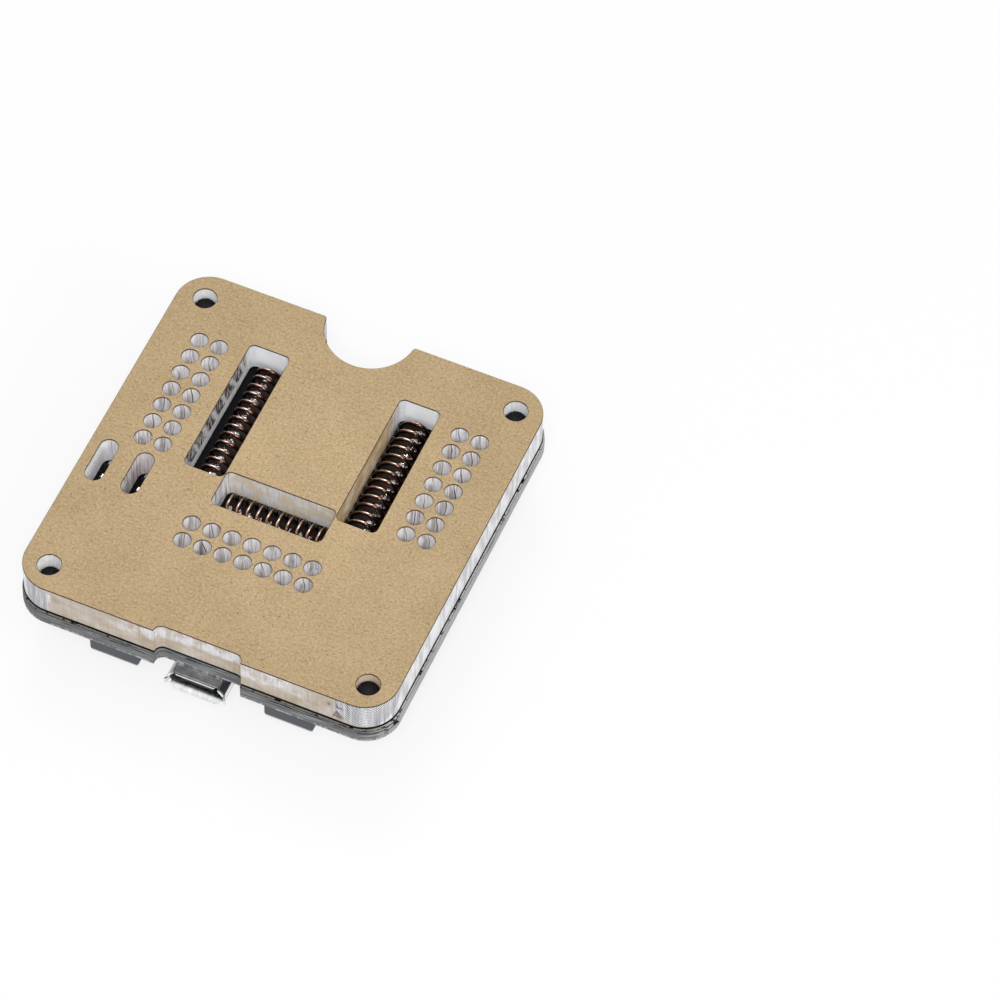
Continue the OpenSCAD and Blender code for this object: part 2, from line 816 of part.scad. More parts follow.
module power_plunger() {
    bottom = power_h - power_plunger_in;
    out = power_h + clip_t + power_plunger_out;
    cap = 0.5;
    color([0.85, 0.85, 0.83])
        under_board() translate([power_x, power_y, 0]) {
            translate([0, 0, bottom]) linear_extrude(out - cap - bottom)
                square(power_plunger_w, center = true);
            translate([0, 0, power_h - 0.05 - power_flange_t]) linear_extrude(power_flange_t)
                square(power_plunger_w + 2 * power_flange, center = true);
            translate([0, 0, out - cap]) linear_extrude(cap)
                square(power_plunger_w - 0.6, center = true);
        }
}

module power_switch_terminals() {
    color([0.78, 0.79, 0.8])
        each_power_pin()
            translate([-power_pin_t / 2, -power_pin_w / 2, board_bottom])
                cube([power_pin_t, power_pin_w, board_t + power_pin_tail]);
}

module power_switch_solder() {
    color([0.78, 0.79, 0.8])
        each_power_pin() solder_cone(0.75, 0.4, [power_pin_t, power_pin_w]);
}

// Small parts on the component side

// A moulded body with drafted long sides
module moulded_body(l, w, h, lift) {
    draft = h * 0.12;
    middle = lift + (h - lift) / 2;
    rotate([90, 0, 90]) linear_extrude(l, center = true)
        polygon([[draft - w / 2, lift], [w / 2 - draft, lift], [w / 2, middle],
                 [w / 2 - draft, h], [draft - w / 2, h], [-w / 2, middle]]);
}

// A lead leaves at the middle of its body's height
function lead_height(body_h) = (body_h + body_lift + lead_t) / 2;

// Leads along a body's long sides, square to it
module lead_row(side, count, pitch, body_w, reach, height, w) {
    for (k = [0 : count - 1])
        translate([(k - (count - 1) / 2) * pitch, side * body_w / 2, 0])
            rotate([0, 0, side * 90]) gull_lead(reach, height, w);
}

module serial_chip() {
    color([0.11, 0.11, 0.12]) under_board() at_spot(chip_spot)
        moulded_body(chip_l, chip_w, chip_h, body_lift);
}

module serial_chip_leads() {
    color([0.78, 0.79, 0.8]) under_board() at_spot(chip_spot)
        for (side = [-1, 1])
            lead_row(side, 8, chip_lead_pitch, chip_w, chip_lead_reach, lead_height(chip_h), lead_w);
}

module voltage_regulator() {
    color([0.11, 0.11, 0.12]) under_board() at_spot(regulator_spot)
        moulded_body(regulator_l, regulator_w, regulator_h, body_lift);
}

module regulator_leads() {
    height = lead_height(regulator_h);
    reach = regulator_lead_reach;
    color([0.78, 0.79, 0.8]) under_board() at_spot(regulator_spot) {
        lead_row(-1, 3, regulator_lead_pitch, regulator_w, reach, height, wide_lead_w);
        lead_row(1, 1, regulator_lead_pitch, regulator_w, reach, height, regulator_tab_w);
    }
}

module transistors() {
    color([0.11, 0.11, 0.12]) under_board()
        for (spot = transistor_spots) at_spot(spot)
            moulded_body(transistor_l, transistor_w, transistor_h, body_lift);
}

module transistor_leads() {
    height = lead_height(transistor_h);
    color([0.78, 0.79, 0.8]) under_board()
        for (spot = transistor_spots) at_spot(spot) {
            lead_row(-1, 2, transistor_lead_pitch, transistor_w, transistor_lead_reach, height, lead_w);
            lead_row(1, 1, transistor_lead_pitch, transistor_w, transistor_lead_reach, height, lead_w);
        }
}

// The middle of a chip part, between its two end caps
module chip_part(size) {
    translate([end_cap_l - size[0] / 2, -size[1] / 2, 0])
        cube([size[0] - 2 * end_cap_l, size[1], size[2]]);
}

module chip_ends(size) {
    for (side = [0, 1]) mirror([side, 0, 0])
        translate([size[0] / 2 - end_cap_l, -size[1] / 2, 0]) cube([end_cap_l, size[1], size[2]]);
}

module resistors() {
    color([0.1, 0.1, 0.11]) under_board()
        for (spot = resistor_spots) at_spot(spot) chip_part(resistor_size);
}

module capacitors() {
    color([0.62, 0.5, 0.38]) under_board()
        for (spot = capacitor_spots) at_spot(spot) chip_part(capacitor_size);
}

module status_leds() {
    color([0.9, 0.88, 0.75]) under_board()
        for (spot = led_spots) at_spot(spot) chip_part(led_size);
}

module passive_end_caps() {
    color([0.78, 0.79, 0.8]) under_board() {
        for (spot = resistor_spots) at_spot(spot) chip_ends(resistor_size);
        for (spot = capacitor_spots) at_spot(spot) chip_ends(capacitor_size);
        for (spot = led_spots) at_spot(spot) chip_ends(led_size);
    }
}

protective_paper();
acrylic_plate();
circuit_board();
corner_screws();
left_contacts();
right_contacts();
front_contacts();
left_contact_solder();
right_contact_solder();
front_contact_solder();
left_header_base();
left_header_pins();
right_header_base();
right_header_pins();
front_header_base();
front_header_pins();
header_solder();
usb_shell();
usb_insulator();
usb_terminals();
boot_switch_base();
boot_switch_cover();
boot_switch_leads();
boot_button();
reset_switch_base();
reset_switch_cover();
reset_switch_leads();
reset_button();
power_switch_housing();
power_switch_clip();
power_switch_terminals();
power_switch_solder();
power_plunger();
serial_chip();
serial_chip_leads();
voltage_regulator();
regulator_leads();
transistors();
transistor_leads();
resistors();
capacitors();
status_leds();
passive_end_caps();
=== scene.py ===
"""Dressed model of the programming fixture, in the CAD frame, in metres."""
import json
import math
import random

import bmesh
import bpy
from mathutils import Matrix, Vector, noise

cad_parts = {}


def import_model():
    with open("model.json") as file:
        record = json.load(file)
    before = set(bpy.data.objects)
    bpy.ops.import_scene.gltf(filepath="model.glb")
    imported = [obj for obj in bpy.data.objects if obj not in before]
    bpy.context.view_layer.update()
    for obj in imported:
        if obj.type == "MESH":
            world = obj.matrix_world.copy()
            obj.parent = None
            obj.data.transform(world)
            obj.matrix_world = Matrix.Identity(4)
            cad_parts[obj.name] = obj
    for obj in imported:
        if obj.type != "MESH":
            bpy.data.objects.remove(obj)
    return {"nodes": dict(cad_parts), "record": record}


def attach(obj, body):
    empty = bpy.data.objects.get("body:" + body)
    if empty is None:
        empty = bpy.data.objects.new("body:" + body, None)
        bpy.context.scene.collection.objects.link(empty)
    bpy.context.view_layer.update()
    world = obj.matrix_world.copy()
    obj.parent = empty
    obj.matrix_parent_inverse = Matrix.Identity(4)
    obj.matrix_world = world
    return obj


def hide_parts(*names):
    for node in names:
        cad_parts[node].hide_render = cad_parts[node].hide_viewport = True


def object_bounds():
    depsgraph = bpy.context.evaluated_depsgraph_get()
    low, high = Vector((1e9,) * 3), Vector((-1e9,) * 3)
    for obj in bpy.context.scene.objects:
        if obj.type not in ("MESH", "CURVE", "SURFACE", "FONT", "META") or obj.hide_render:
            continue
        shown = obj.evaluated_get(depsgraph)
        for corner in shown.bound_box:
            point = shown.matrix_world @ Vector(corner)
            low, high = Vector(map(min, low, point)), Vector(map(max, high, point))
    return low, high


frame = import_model()
CAD_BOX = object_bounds()
MM = 0.001

# Sizes repeated from the part's source, in millimetres: the plate and the board
PAPER_T = 0.15
ACRYLIC_T = 4.0
BOARD_GAP = 0.25
BOARD_T = 2.0
BOARD_TOP = -PAPER_T - ACRYLIC_T - BOARD_GAP
BOARD_BOTTOM = BOARD_TOP - BOARD_T
PLATE_W = 46.7
PLATE_FRONT = 24.1
PLATE_BACK = 24.3
CORNER_R = 4.2
SCREW_X = 19.95
SCREW_Y = 20.8
SCREW_HOLE_R = 1.6
# The spring wires: s runs outwards from the row, z up from the board's top
LEG_S = 7.5
ARCH_R = 2.0
ARCH_FLAT = 0.1
CROWN_R = 1.3
CURL_R = 0.5
HOOK_R = 0.45
HOOK_DROP = 0.75
HOOK_END = 0.15
WIRE_R = 0.225
WIRE_SIDES = 12
PAD_T = 0.05
JOINT_R = 0.5
JOINT_LEVELS = 6
JOINT_SIDES = 12
FLEX_GAP = 0.05
FOOT_S = LEG_S + ARCH_R + ARCH_FLAT + CROWN_R - CURL_R
PAD_PITCH = 1.27
SIDE_CONTACTS = 14
FRONT_CONTACTS = 10
SIDE_ROW_Y = 7.65
FRONT_ROW_Y = 6.5
# The pin headers under the tail holes, and the power switch
PIN_PITCH = 2.54
HEADER_X = 16.67
HEADER_Y = 7.35
FRONT_HEADER_Y = -10.22
POWER_X = -18.6
POWER_Y = -5.15
# The socket: half its width at the bevelled side and at the other, its height, sheet and bevel
USB_Y = -24.4
USB_NARROW = 2.75
USB_WIDE = 3.6
USB_H = 2.6
USB_SHEET = 0.22
USB_BEVEL = USB_H * 0.42

# Half a field of tail holes, across and along
TAIL_FIELD = (2.4, 9)
# The contact slots: the far ends of the two at the sides, and the walls with marks of their own
SLOT_END_Y = 17.2
LEFT_SLOT_WALL_X = -12.18
RIGHT_SLOT_WALL_X = 7.08
FRONT_SLOT_WALL_Y = -0.58
# How far out along the wires the brown tint lies
BROWN_TINT_S = 9.6

# The camera, fitted to the photograph: lens, place in millimetres, and its right, up and back
CAMERA_LENS = 213.04
CAMERA_SENSOR = 36
CAMERA_CLIP = (0.01, 20)
CAMERA_PLACE = (171.904, -351.981, 557.638)
CAMERA_AXES = (
    (0.9161918, 0.4004689, 0.0147415),
    (-0.3360104, 0.7476376, 0.5728307),
    (0.2183796, -0.5297761, 0.8195411),
)


# Materials


def linear(r, g, b):
    """A colour given as it looks on screen, 0 to 255, as the shader wants it."""
    return tuple(((c / 255 + 0.055) / 1.055) ** 2.4 if c > 10 else c / 255 / 12.92
                 for c in (r, g, b)) + (1.0,)


WHITE = (255, 255, 255)


class Nodes:
    """Makes and joins the nodes of one tree. Colours are given as they look on screen."""

    def __init__(self, tree):
        self.tree = tree

    def link(self, source, target):
        self.tree.links.new(source, target)

    def feed(self, socket, value):
        """Links another node's output to an input, or sets the input."""
        if isinstance(value, bpy.types.NodeSocket):
            self.link(value, socket)
        elif socket.type == "RGBA":
            socket.default_value = linear(*value)
        else:
            socket.default_value = value

    def node(self, kind, inputs=(), **settings):
        """A new node with its settings, and its inputs fed by name or number."""
        made = self.tree.nodes.new("ShaderNode" + kind)
        for key, value in settings.items():
            setattr(made, key, value)
        for key, value in dict(inputs).items():
            self.feed(made.inputs[key], value)
        return made

    def maths(self, operation, a, b=0.0):
        return self.node("Math", {0: a, 1: b}, operation=operation).outputs[0]

    def folded(self, operation, values):
        total, *others = values
        for value in others:
            total = self.maths(operation, total, value)
        return total

    def plus(self, *values):
        return self.folded("ADD", values)

    def times(self, *values):
        return self.folded("MULTIPLY", values)

    def most(self, *values):
        return self.folded("MAXIMUM", values)

    def span(self, value, low, high, to_low=0.0, to_high=1.0):
        """A value from low to high, as one from to_low to to_high that stays between them."""
        made = self.node("MapRange", {"Value": value, "From Min": low, "From Max": high,
                                      "To Min": to_low, "To Max": to_high}, clamp=True)
        return made.outputs["Result"]

    def within(self, value, middle, half, blur=0.1):
        """1 within half of a middle value, 0 past the blur beyond."""
        off = self.maths("ABSOLUTE", self.maths("SUBTRACT", value, middle))
        return self.span(off, half, half + blur, 1.0, 0.0)

    def vector(self, operation, a, b=(0, 0, 0)):
        """A calculation with places or directions, whose result is a triple or a number."""
        made = self.node("VectorMath", {0: a, 1: b}, operation=operation)
        number = operation in ("DOT_PRODUCT", "DISTANCE", "LENGTH")
        return made.outputs["Value" if number else "Vector"]

    def part_of(self, vector, name):
        return self.node("SeparateXYZ", {0: vector}).outputs[name]

    def background_rays(self):
        """1 for the rays that show the background: straight, mirrored and through clear plastic."""
        rays = self.node("LightPath").outputs
        return self.most(rays["Is Camera Ray"], rays["Is Glossy Ray"], rays["Is Transmission Ray"])


class Maker(Nodes):
    """Builds one procedural material. Places and sizes are in millimetres."""

    def __init__(self, name, **sockets):
        self.material = bpy.data.materials.new(name)
        self.material.use_nodes = True
        super().__init__(self.material.node_tree)
        self.shader = self.tree.nodes["Principled BSDF"]
        self.place = self.node("TexCoord").outputs["Object"]
        for key, value in sockets.items():
            self.shader.inputs[key.replace("_", " ")].default_value = value

    def at(self, scale=(1, 1, 1), turn=(0, 0, 0)):
        """The place on the part, stretched and turned."""
        made = self.node("Mapping", {"Vector": self.place, "Scale": [s / MM for s in scale],
                                     "Rotation": turn})
        return made.outputs["Vector"]

    def axis(self, name):
        return self.part_of(self.at(), name)

    def normal(self):
        return self.node("NewGeometry").outputs["Normal"]

    def facing(self, direction):
        """The face's normal along a direction: 1 towards it, -1 away from it."""
        return self.vector("DOT_PRODUCT", self.normal(), direction)

    def near(self, x, y, reach, blur=0.1):
        """1 within a distance of an upright line."""
        away = self.vector("DISTANCE", self.at((1, 1, 0)), (x, y, 0))
        return self.span(away, reach, reach + blur, 1.0, 0.0)

    def noise(self, scale, detail=3, rough=0.5, stretch=(1, 1, 1), warp=0.0, turn=(0, 0, 0)):
        made = self.node("TexNoise", {"Scale": scale, "Detail": detail, "Roughness": rough,
                                      "Distortion": warp, "Vector": self.at(stretch, turn)})
        return made.outputs["Fac"]

    def cells(self, scale, stretch=(1, 1, 1), turn=(0, 0, 0)):
        """The distance from the nearest of many scattered points."""
        made = self.node("TexVoronoi", {"Scale": scale, "Vector": self.at(stretch, turn)})
        return made.outputs["Distance"]

    def ramp(self, value, *stops):
        """A colour along (position, red, green, blue) stops."""
        made = self.node("ValToRGB")
        elements = made.color_ramp.elements
        while len(elements) < len(stops):
            elements.new(0.5)
        for element, (position, *shade) in zip(elements, stops):
            element.position = position
            element.color = linear(*shade)
        self.link(value, made.inputs["Fac"])
        return made.outputs["Color"]

    def mix(self, factor, a, b):
        return self.node("Mix", {0: factor, 6: a, 7: b}, data_type="RGBA").outputs[2]

    def bump(self, height, strength, distance):
        made = self.node("Bump", {"Strength": strength, "Distance": distance * MM,
                                  "Height": height})
        self.link(made.outputs["Normal"], self.shader.inputs["Normal"])

    def paint(self, colour):
        self.feed(self.shader.inputs["Base Color"], colour)

    def rough(self, value):
        self.feed(self.shader.inputs["Roughness"], value)

    def mottle(self, cloud, dark, bright, smooth, rough):
        """Colour and roughness that both follow a cloud."""
        self.paint(self.ramp(cloud, (0.3, *dark), (0.7, *bright)))
        self.rough(self.span(cloud, 0.3, 0.7, smooth, rough))

    def cover(self, share, shader):
        """Lays another shader over the main one, by its share."""
        both = self.node("MixShader", {0: share, 1: self.shader.outputs[0],
                                       2: shader.outputs[0]})
        self.link(both.outputs[0], self.tree.nodes["Material Output"].inputs["Surface"])


def kraft_paper():
    """Brown paper, clouded and grained, with fibres and flecks, and a little darker outwards."""
    m = Maker("kraft_paper", Specular_IOR_Level=0.2)
    base = m.ramp(m.noise(0.14, 4, 0.6), (0.3, 179, 155, 118), (0.7, 194, 169, 131))
    grain = m.noise(3.4, 5, 0.8)
    base = m.mix(m.span(grain, 0.5, 0.68, 0.0, 0.85), base, (218, 197, 158))
    base = m.mix(m.span(grain, 0.32, 0.48, 0.85, 0.0), base, (148, 120, 84))
    pulp = m.noise(1.1, 5, 0.8, warp=1.5)
    base = m.mix(m.span(pulp, 0.56, 0.7, 0.0, 0.6), base, (164, 134, 96))
    for turn, stretch, scale in ((0.5, (0.3, 2.4, 1), 1.7), (2.2, (0.3, 2.6, 1), 2.1),
                                 (1.3, (0.35, 2.8, 1), 1.5)):
        fibre = m.cells(scale, stretch, (0, 0, turn))
        base = m.mix(m.span(fibre, 0.07, 0.15, 0.8, 0.0), base, (118, 92, 64))
    fleck = m.cells(1.0, turn=(0, 0, 0.3))
    base = m.mix(m.span(fleck, 0.05, 0.1, 0.8, 0.0), base, (84, 64, 46))
    outwards = m.vector("LENGTH", m.at((1, 1, 0)))
    base = m.mix(m.span(outwards, 9, 24, 0.0, 0.12), base, (110, 92, 66))
    m.paint(base)
    m.rough(m.span(grain, 0.3, 0.7, 0.72, 0.9))
    m.bump(grain, 0.4, 0.03)
    return m.material


def burnt_rim():
    """The paper's cut edge, browned by the laser."""
    m = Maker("burnt_rim")
    m.paint(m.ramp(m.noise(2.2, 3, 0.6), (0.35, 44, 35, 28), (0.65, 84, 67, 50)))
    m.rough(m.span(m.noise(5, 2), 0, 1, 0.7, 0.9))
    return m.material


class CutAcrylic(Maker):
    """Clear plastic under a matt milk on its cut walls, whose colour is laid on wall by wall; on
    some walls it carries painted light, painted glints and painted images of what shows through the
    plastic.
    """

    def __init__(self):
        super().__init__("cut_acrylic", IOR=1.49, Transmission_Weight=1.0)
        self.x, self.y, self.z = (self.axis(name) for name in "XYZ")
        # Upright marks from the laser, their finest part, and wide patches
        self.fine = self.noise(1.0, 3, 0.6, (9, 9, 0.4))
        stripes = self.noise(1.0, 4, 0.6, (2.2, 2.2, 0.1), 0.3)
        self.marks = self.plus(self.times(stripes, 0.6), self.times(self.fine, 0.4))
        self.patch = self.noise(0.35, 4, 0.6, (1, 1, 1.6))
        self.paint(self.ramp(self.marks, (0.3, 232, 233, 234), (0.7, 250, 250, 251)))
        self.rough(self.span(self.marks, 0.35, 0.65, 0.04, 0.2))
        self.bump(self.marks, 0.35, 0.06)
        self.milk_and_painted_light = self.ramp(self.marks, (0.38, 112, 107, 112), (0.44, 206, 202, 206),
                              (0.51, 245, 243, 246), (0.58, 255, 255, 255))
        # The walls on which the milk hides the plastic nearly whole
        self.solid = []
        self.side_slots = self.within(self.y, 7.4, 10)
        self.front_face = self.span(self.y, -22.9, -23.05)

    def lay(self, colour, *factors):
        self.milk_and_painted_light = self.mix(self.times(*factors), self.milk_and_painted_light, colour)

    def tail_holes(self):
        """Each has a painted dark line of refraction, with a painted white glint beside it, where
        its far wall turns to face the camera, and painted grey bands further round.
        """
        across, along = TAIL_FIELD
        side_rows = self.times(self.within(self.maths("ABSOLUTE", self.x), HEADER_X, across),
                               self.within(self.y, HEADER_Y, along))
        front_row = self.times(self.within(self.y, FRONT_HEADER_Y, across),
                               self.within(self.x, 0, along))
        rows = self.most(side_rows, front_row)
        each = self.noise(0.3, 1)
        turn = self.plus(self.facing((0.899, 0.438, 0)), self.times(each, 1.2),
                         self.times(self.fine, 0.08), -0.55)
        strong = self.span(self.noise(0.19, 1), 0.4, 0.62, 0.25, 0.95)
        grey = self.span(each, 0.42, 0.6, 0.0, 0.6)
        self.lay(self.ramp(self.marks, (0.38, 168, 158, 160), (0.45, 236, 230, 232),
                           (0.51, 255, 252, 252), (0.58, 255, 255, 255)), rows)
        # Painted refraction and glint: a dark line, a white line beside it and grey bands, by how
        # the wall turns
        self.lay((74, 68, 68), rows, self.within(turn, 0.02, 0.04, 0.05), strong)
        self.lay(WHITE, rows, self.within(turn, -0.14, 0.05, 0.04), 0.9)
        self.lay((146, 138, 134), rows, self.within(turn, 0.4, 0.12, 0.2), grey)
        self.solid.append(rows)

    def slot_ends(self):
        """Smoother, bluish white at the side slots' far ends, painted as the bright background seen
        through the plastic.
        """
        far = self.times(self.span(self.y, SLOT_END_Y - 1.5, SLOT_END_Y - 0.8),
                         self.span(self.y, SLOT_END_Y + 0.4, SLOT_END_Y))
        self.lay(self.ramp(self.noise(0.3, 2), (0.3, 240, 244, 254), (0.7, 252, 254, 255)), far)
        self.solid.append(self.times(far, 0.93))

    def left_slot(self):
        """Leaning grey patches on the outer wall, painted as the tail holes behind it seen through
        the plastic.
        """
        wall = self.times(self.within(self.x, LEFT_SLOT_WALL_X, 0.12), self.side_slots)
        self.lay(self.ramp(self.fine, (0.35, 222, 221, 224), (0.5, 255, 255, 255)), wall)
        # Painted see-through images: dark patches at the pitch of the tail holes behind the wall
        slant = self.plus(self.y, self.times(self.z, 0.45))
        beat = self.maths("SINE", self.plus(self.times(slant, math.tau / PIN_PITCH),
                                            self.times(self.patch, 3.5)))
        holes = self.span(self.plus(beat, self.fine), -0.7, 0.2)
        leaning = self.noise(1.0, 3, 0.55, (3, 3, 0.8), turn=(0.6, 0, 0))
        self.lay(self.ramp(leaning, (0.4, 52, 48, 47), (0.52, 130, 122, 118),
                           (0.64, 214, 212, 214)),
                 wall, holes, self.span(self.y, 15.8, 15.0), self.within(self.z, -1.2, 1.4, 0.4))

    def painted_paper_show_through(self):
        """Tan of the paper's back, painted as seen through the plastic, on the front face and on
        the right slot's inner wall.
        """
        # Painted see-through: the paper's back showing through the plastic
        begun = self.span(self.plus(self.x, self.times(self.patch, 1.5)), -17.9, -17.5)
        self.lay(self.ramp(self.patch, (0.35, 196, 180, 156), (0.5, 208, 196, 182),
                           (0.7, 222, 212, 206)), self.front_face, begun)
        fading = self.span(self.plus(self.y, self.times(self.patch, 6)), 19.5, 15.5)
        inner = self.times(self.within(self.x, RIGHT_SLOT_WALL_X, 0.2), self.side_slots, fading)
        self.lay(self.ramp(self.patch, (0.3, 198, 166, 118), (0.5, 214, 188, 148),
                           (0.66, 242, 230, 214)), inner)
        self.solid.append(inner)

    def front_slot(self):
        """Light far wall with tan patches."""
        wall = self.times(self.within(self.y, FRONT_SLOT_WALL_Y, 0.1), self.within(self.x, 0, 6.6))
        self.lay(self.ramp(self.fine, (0.35, 232, 228, 226), (0.6, 255, 254, 253)), wall, 0.8)
        self.lay((236, 218, 186), wall, self.span(self.patch, 0.44, 0.56, 0.75, 0.0))
        self.solid.append(wall)

    def front_blotches(self):
        """White patches near the recess, above a tan lower half."""
        upper = self.span(self.plus(self.z, self.times(self.patch, 2.2)), -1.4, -0.7)
        blotch = self.plus(self.noise(0.55, 3, 0.6, (1, 1, 0.7)), self.times(self.fine, 0.35))
        self.lay((244, 243, 250), self.front_face, upper, self.span(blotch, 0.6, 0.74),
                 self.within(self.x, 2, 9, 5), 0.85)

    def right_face(self):
        """Light, with slanting scratches."""
        right = self.span(self.x, PLATE_W / 2 - 0.15, PLATE_W / 2 - 0.05)
        strokes = self.noise(1.0, 3, 0.6, (1, 1.1, 0.28), turn=(0.35, 0, 0))
        self.lay(self.ramp(strokes, (0.38, 208, 207, 211), (0.5, 230, 230, 232),
                           (0.62, 248, 248, 249)), right)
        self.solid.append(self.times(right, 0.95))

    def screw_holes(self):
        """Light walls, and tan ones at the front right screw."""
        for x, y, colour, share in ((-SCREW_X, -SCREW_Y, WHITE, 0.8),
                                    (-SCREW_X, SCREW_Y, WHITE, 0.8),
                                    (SCREW_X, SCREW_Y, WHITE, 0.8),
                                    (SCREW_X, -SCREW_Y, (236, 216, 190), 1.0)):
            hole = self.near(x, y, SCREW_HOLE_R)
            self.lay(colour, hole, share)
            self.solid.append(hole)

    def power_slots(self):
        """The inner one tinted and streaked, the outer one painted white as the bright background
        seen through the plastic.
        """
        slots = self.times(self.within(self.x, POWER_X, 4), self.within(self.y, POWER_Y, 3.2))
        self.lay(self.ramp(self.marks, (0.4, 176, 164, 162), (0.5, 240, 234, 234)),
                 slots, self.span(self.x, -20.4, -20.2))
        # Painted light: the outer slot's wall white, for the background that shows through
        self.lay(WHITE, slots, self.span(self.x, -21.2, -21.6))
        self.solid.append(slots)

    def milled_corner(self, side, centre, pitch, reach, begins, depths):
        """Fine lines about a centre, out to a reach, on the left (-1) or right (1) front corner.

        begins is the span of x over which they begin, depths how deep they are, least and most.
        """
        gap = self.vector("DISTANCE", self.at(), centre)
        not_hole = self.maths("SUBTRACT", 1.0, self.near(SCREW_X * side, -SCREW_Y, SCREW_HOLE_R))
        corner = self.times(self.span(self.times(self.x, side), *begins),
                            self.span(self.y, -17.6, -18.8),
                            self.span(gap, reach + 0.4, reach), not_hole)
        lines = self.maths("SINE", self.plus(self.times(gap, pitch), self.times(self.patch, 5)))
        tone = self.plus(self.times(lines, self.span(self.patch, 0.4, 0.6, *depths)),
                         self.times(self.marks, 0.55))
        self.lay(self.ramp(tone, (0.1, 122, 122, 128), (0.25, 180, 180, 186),
                           (0.33, 222, 222, 226), (0.45, 252, 252, 254)), corner)
        return corner

    def front_corners(self):
        """Arcs on the right one, level lines on the left one that end in painted white light near
        the left edge, and a smudge.
        """
        self.milled_corner(1, (21.25, -23.54, 0.7), 19, 4.6, (17.0, 17.2), (0.04, 0.15))
        left = self.milled_corner(-1, (-20.5, -25, 60), 14, 80, (18.6, 18.9), (0.0, 0.03))
        # Painted light: white at the left end, for the bright background showing through the corner
        self.lay(WHITE, left, self.span(self.x, -21.2, -22))
        self.lay((128, 116, 120), self.within(self.x, 17.3, 0.7, 0.5), self.front_face,
                 self.within(self.z, -2.4, 1.1, 0.6),
                 self.span(self.noise(1.1, 3), 0.46, 0.54, 0.0, 0.9))

    def finish(self):
        """Covers the walls with the milk, only thinly on the back and left faces."""
        wall = self.span(self.maths("ABSOLUTE", self.facing((0, 0, 1))), 0.3, 0.6, 1.0, 0.0)
        clear = self.most(self.span(self.y, PLATE_BACK - 2.3, PLATE_BACK - 1.7),
                          self.span(self.x, 0.25 - PLATE_W / 2, 0.15 - PLATE_W / 2))
        thick = self.most(self.span(self.marks, 0.36, 0.6, 0.75, 0.92),
                          self.times(self.most(*self.solid), 0.97))
        share = self.times(wall, thick, self.span(clear, 0, 1, 1.0, 0.22))
        self.cover(share, self.node("BsdfDiffuse", {"Color": self.milk_and_painted_light}))
        return self.material


def acrylic():
    """The plate's plastic. Later layers cover earlier ones."""
    m = CutAcrylic()
    m.tail_holes()
    m.slot_ends()
    m.left_slot()
    m.painted_paper_show_through()
    m.front_slot()
    m.front_blotches()
    m.right_face()
    m.screw_holes()
    m.power_slots()
    m.front_corners()
    return m.finish()


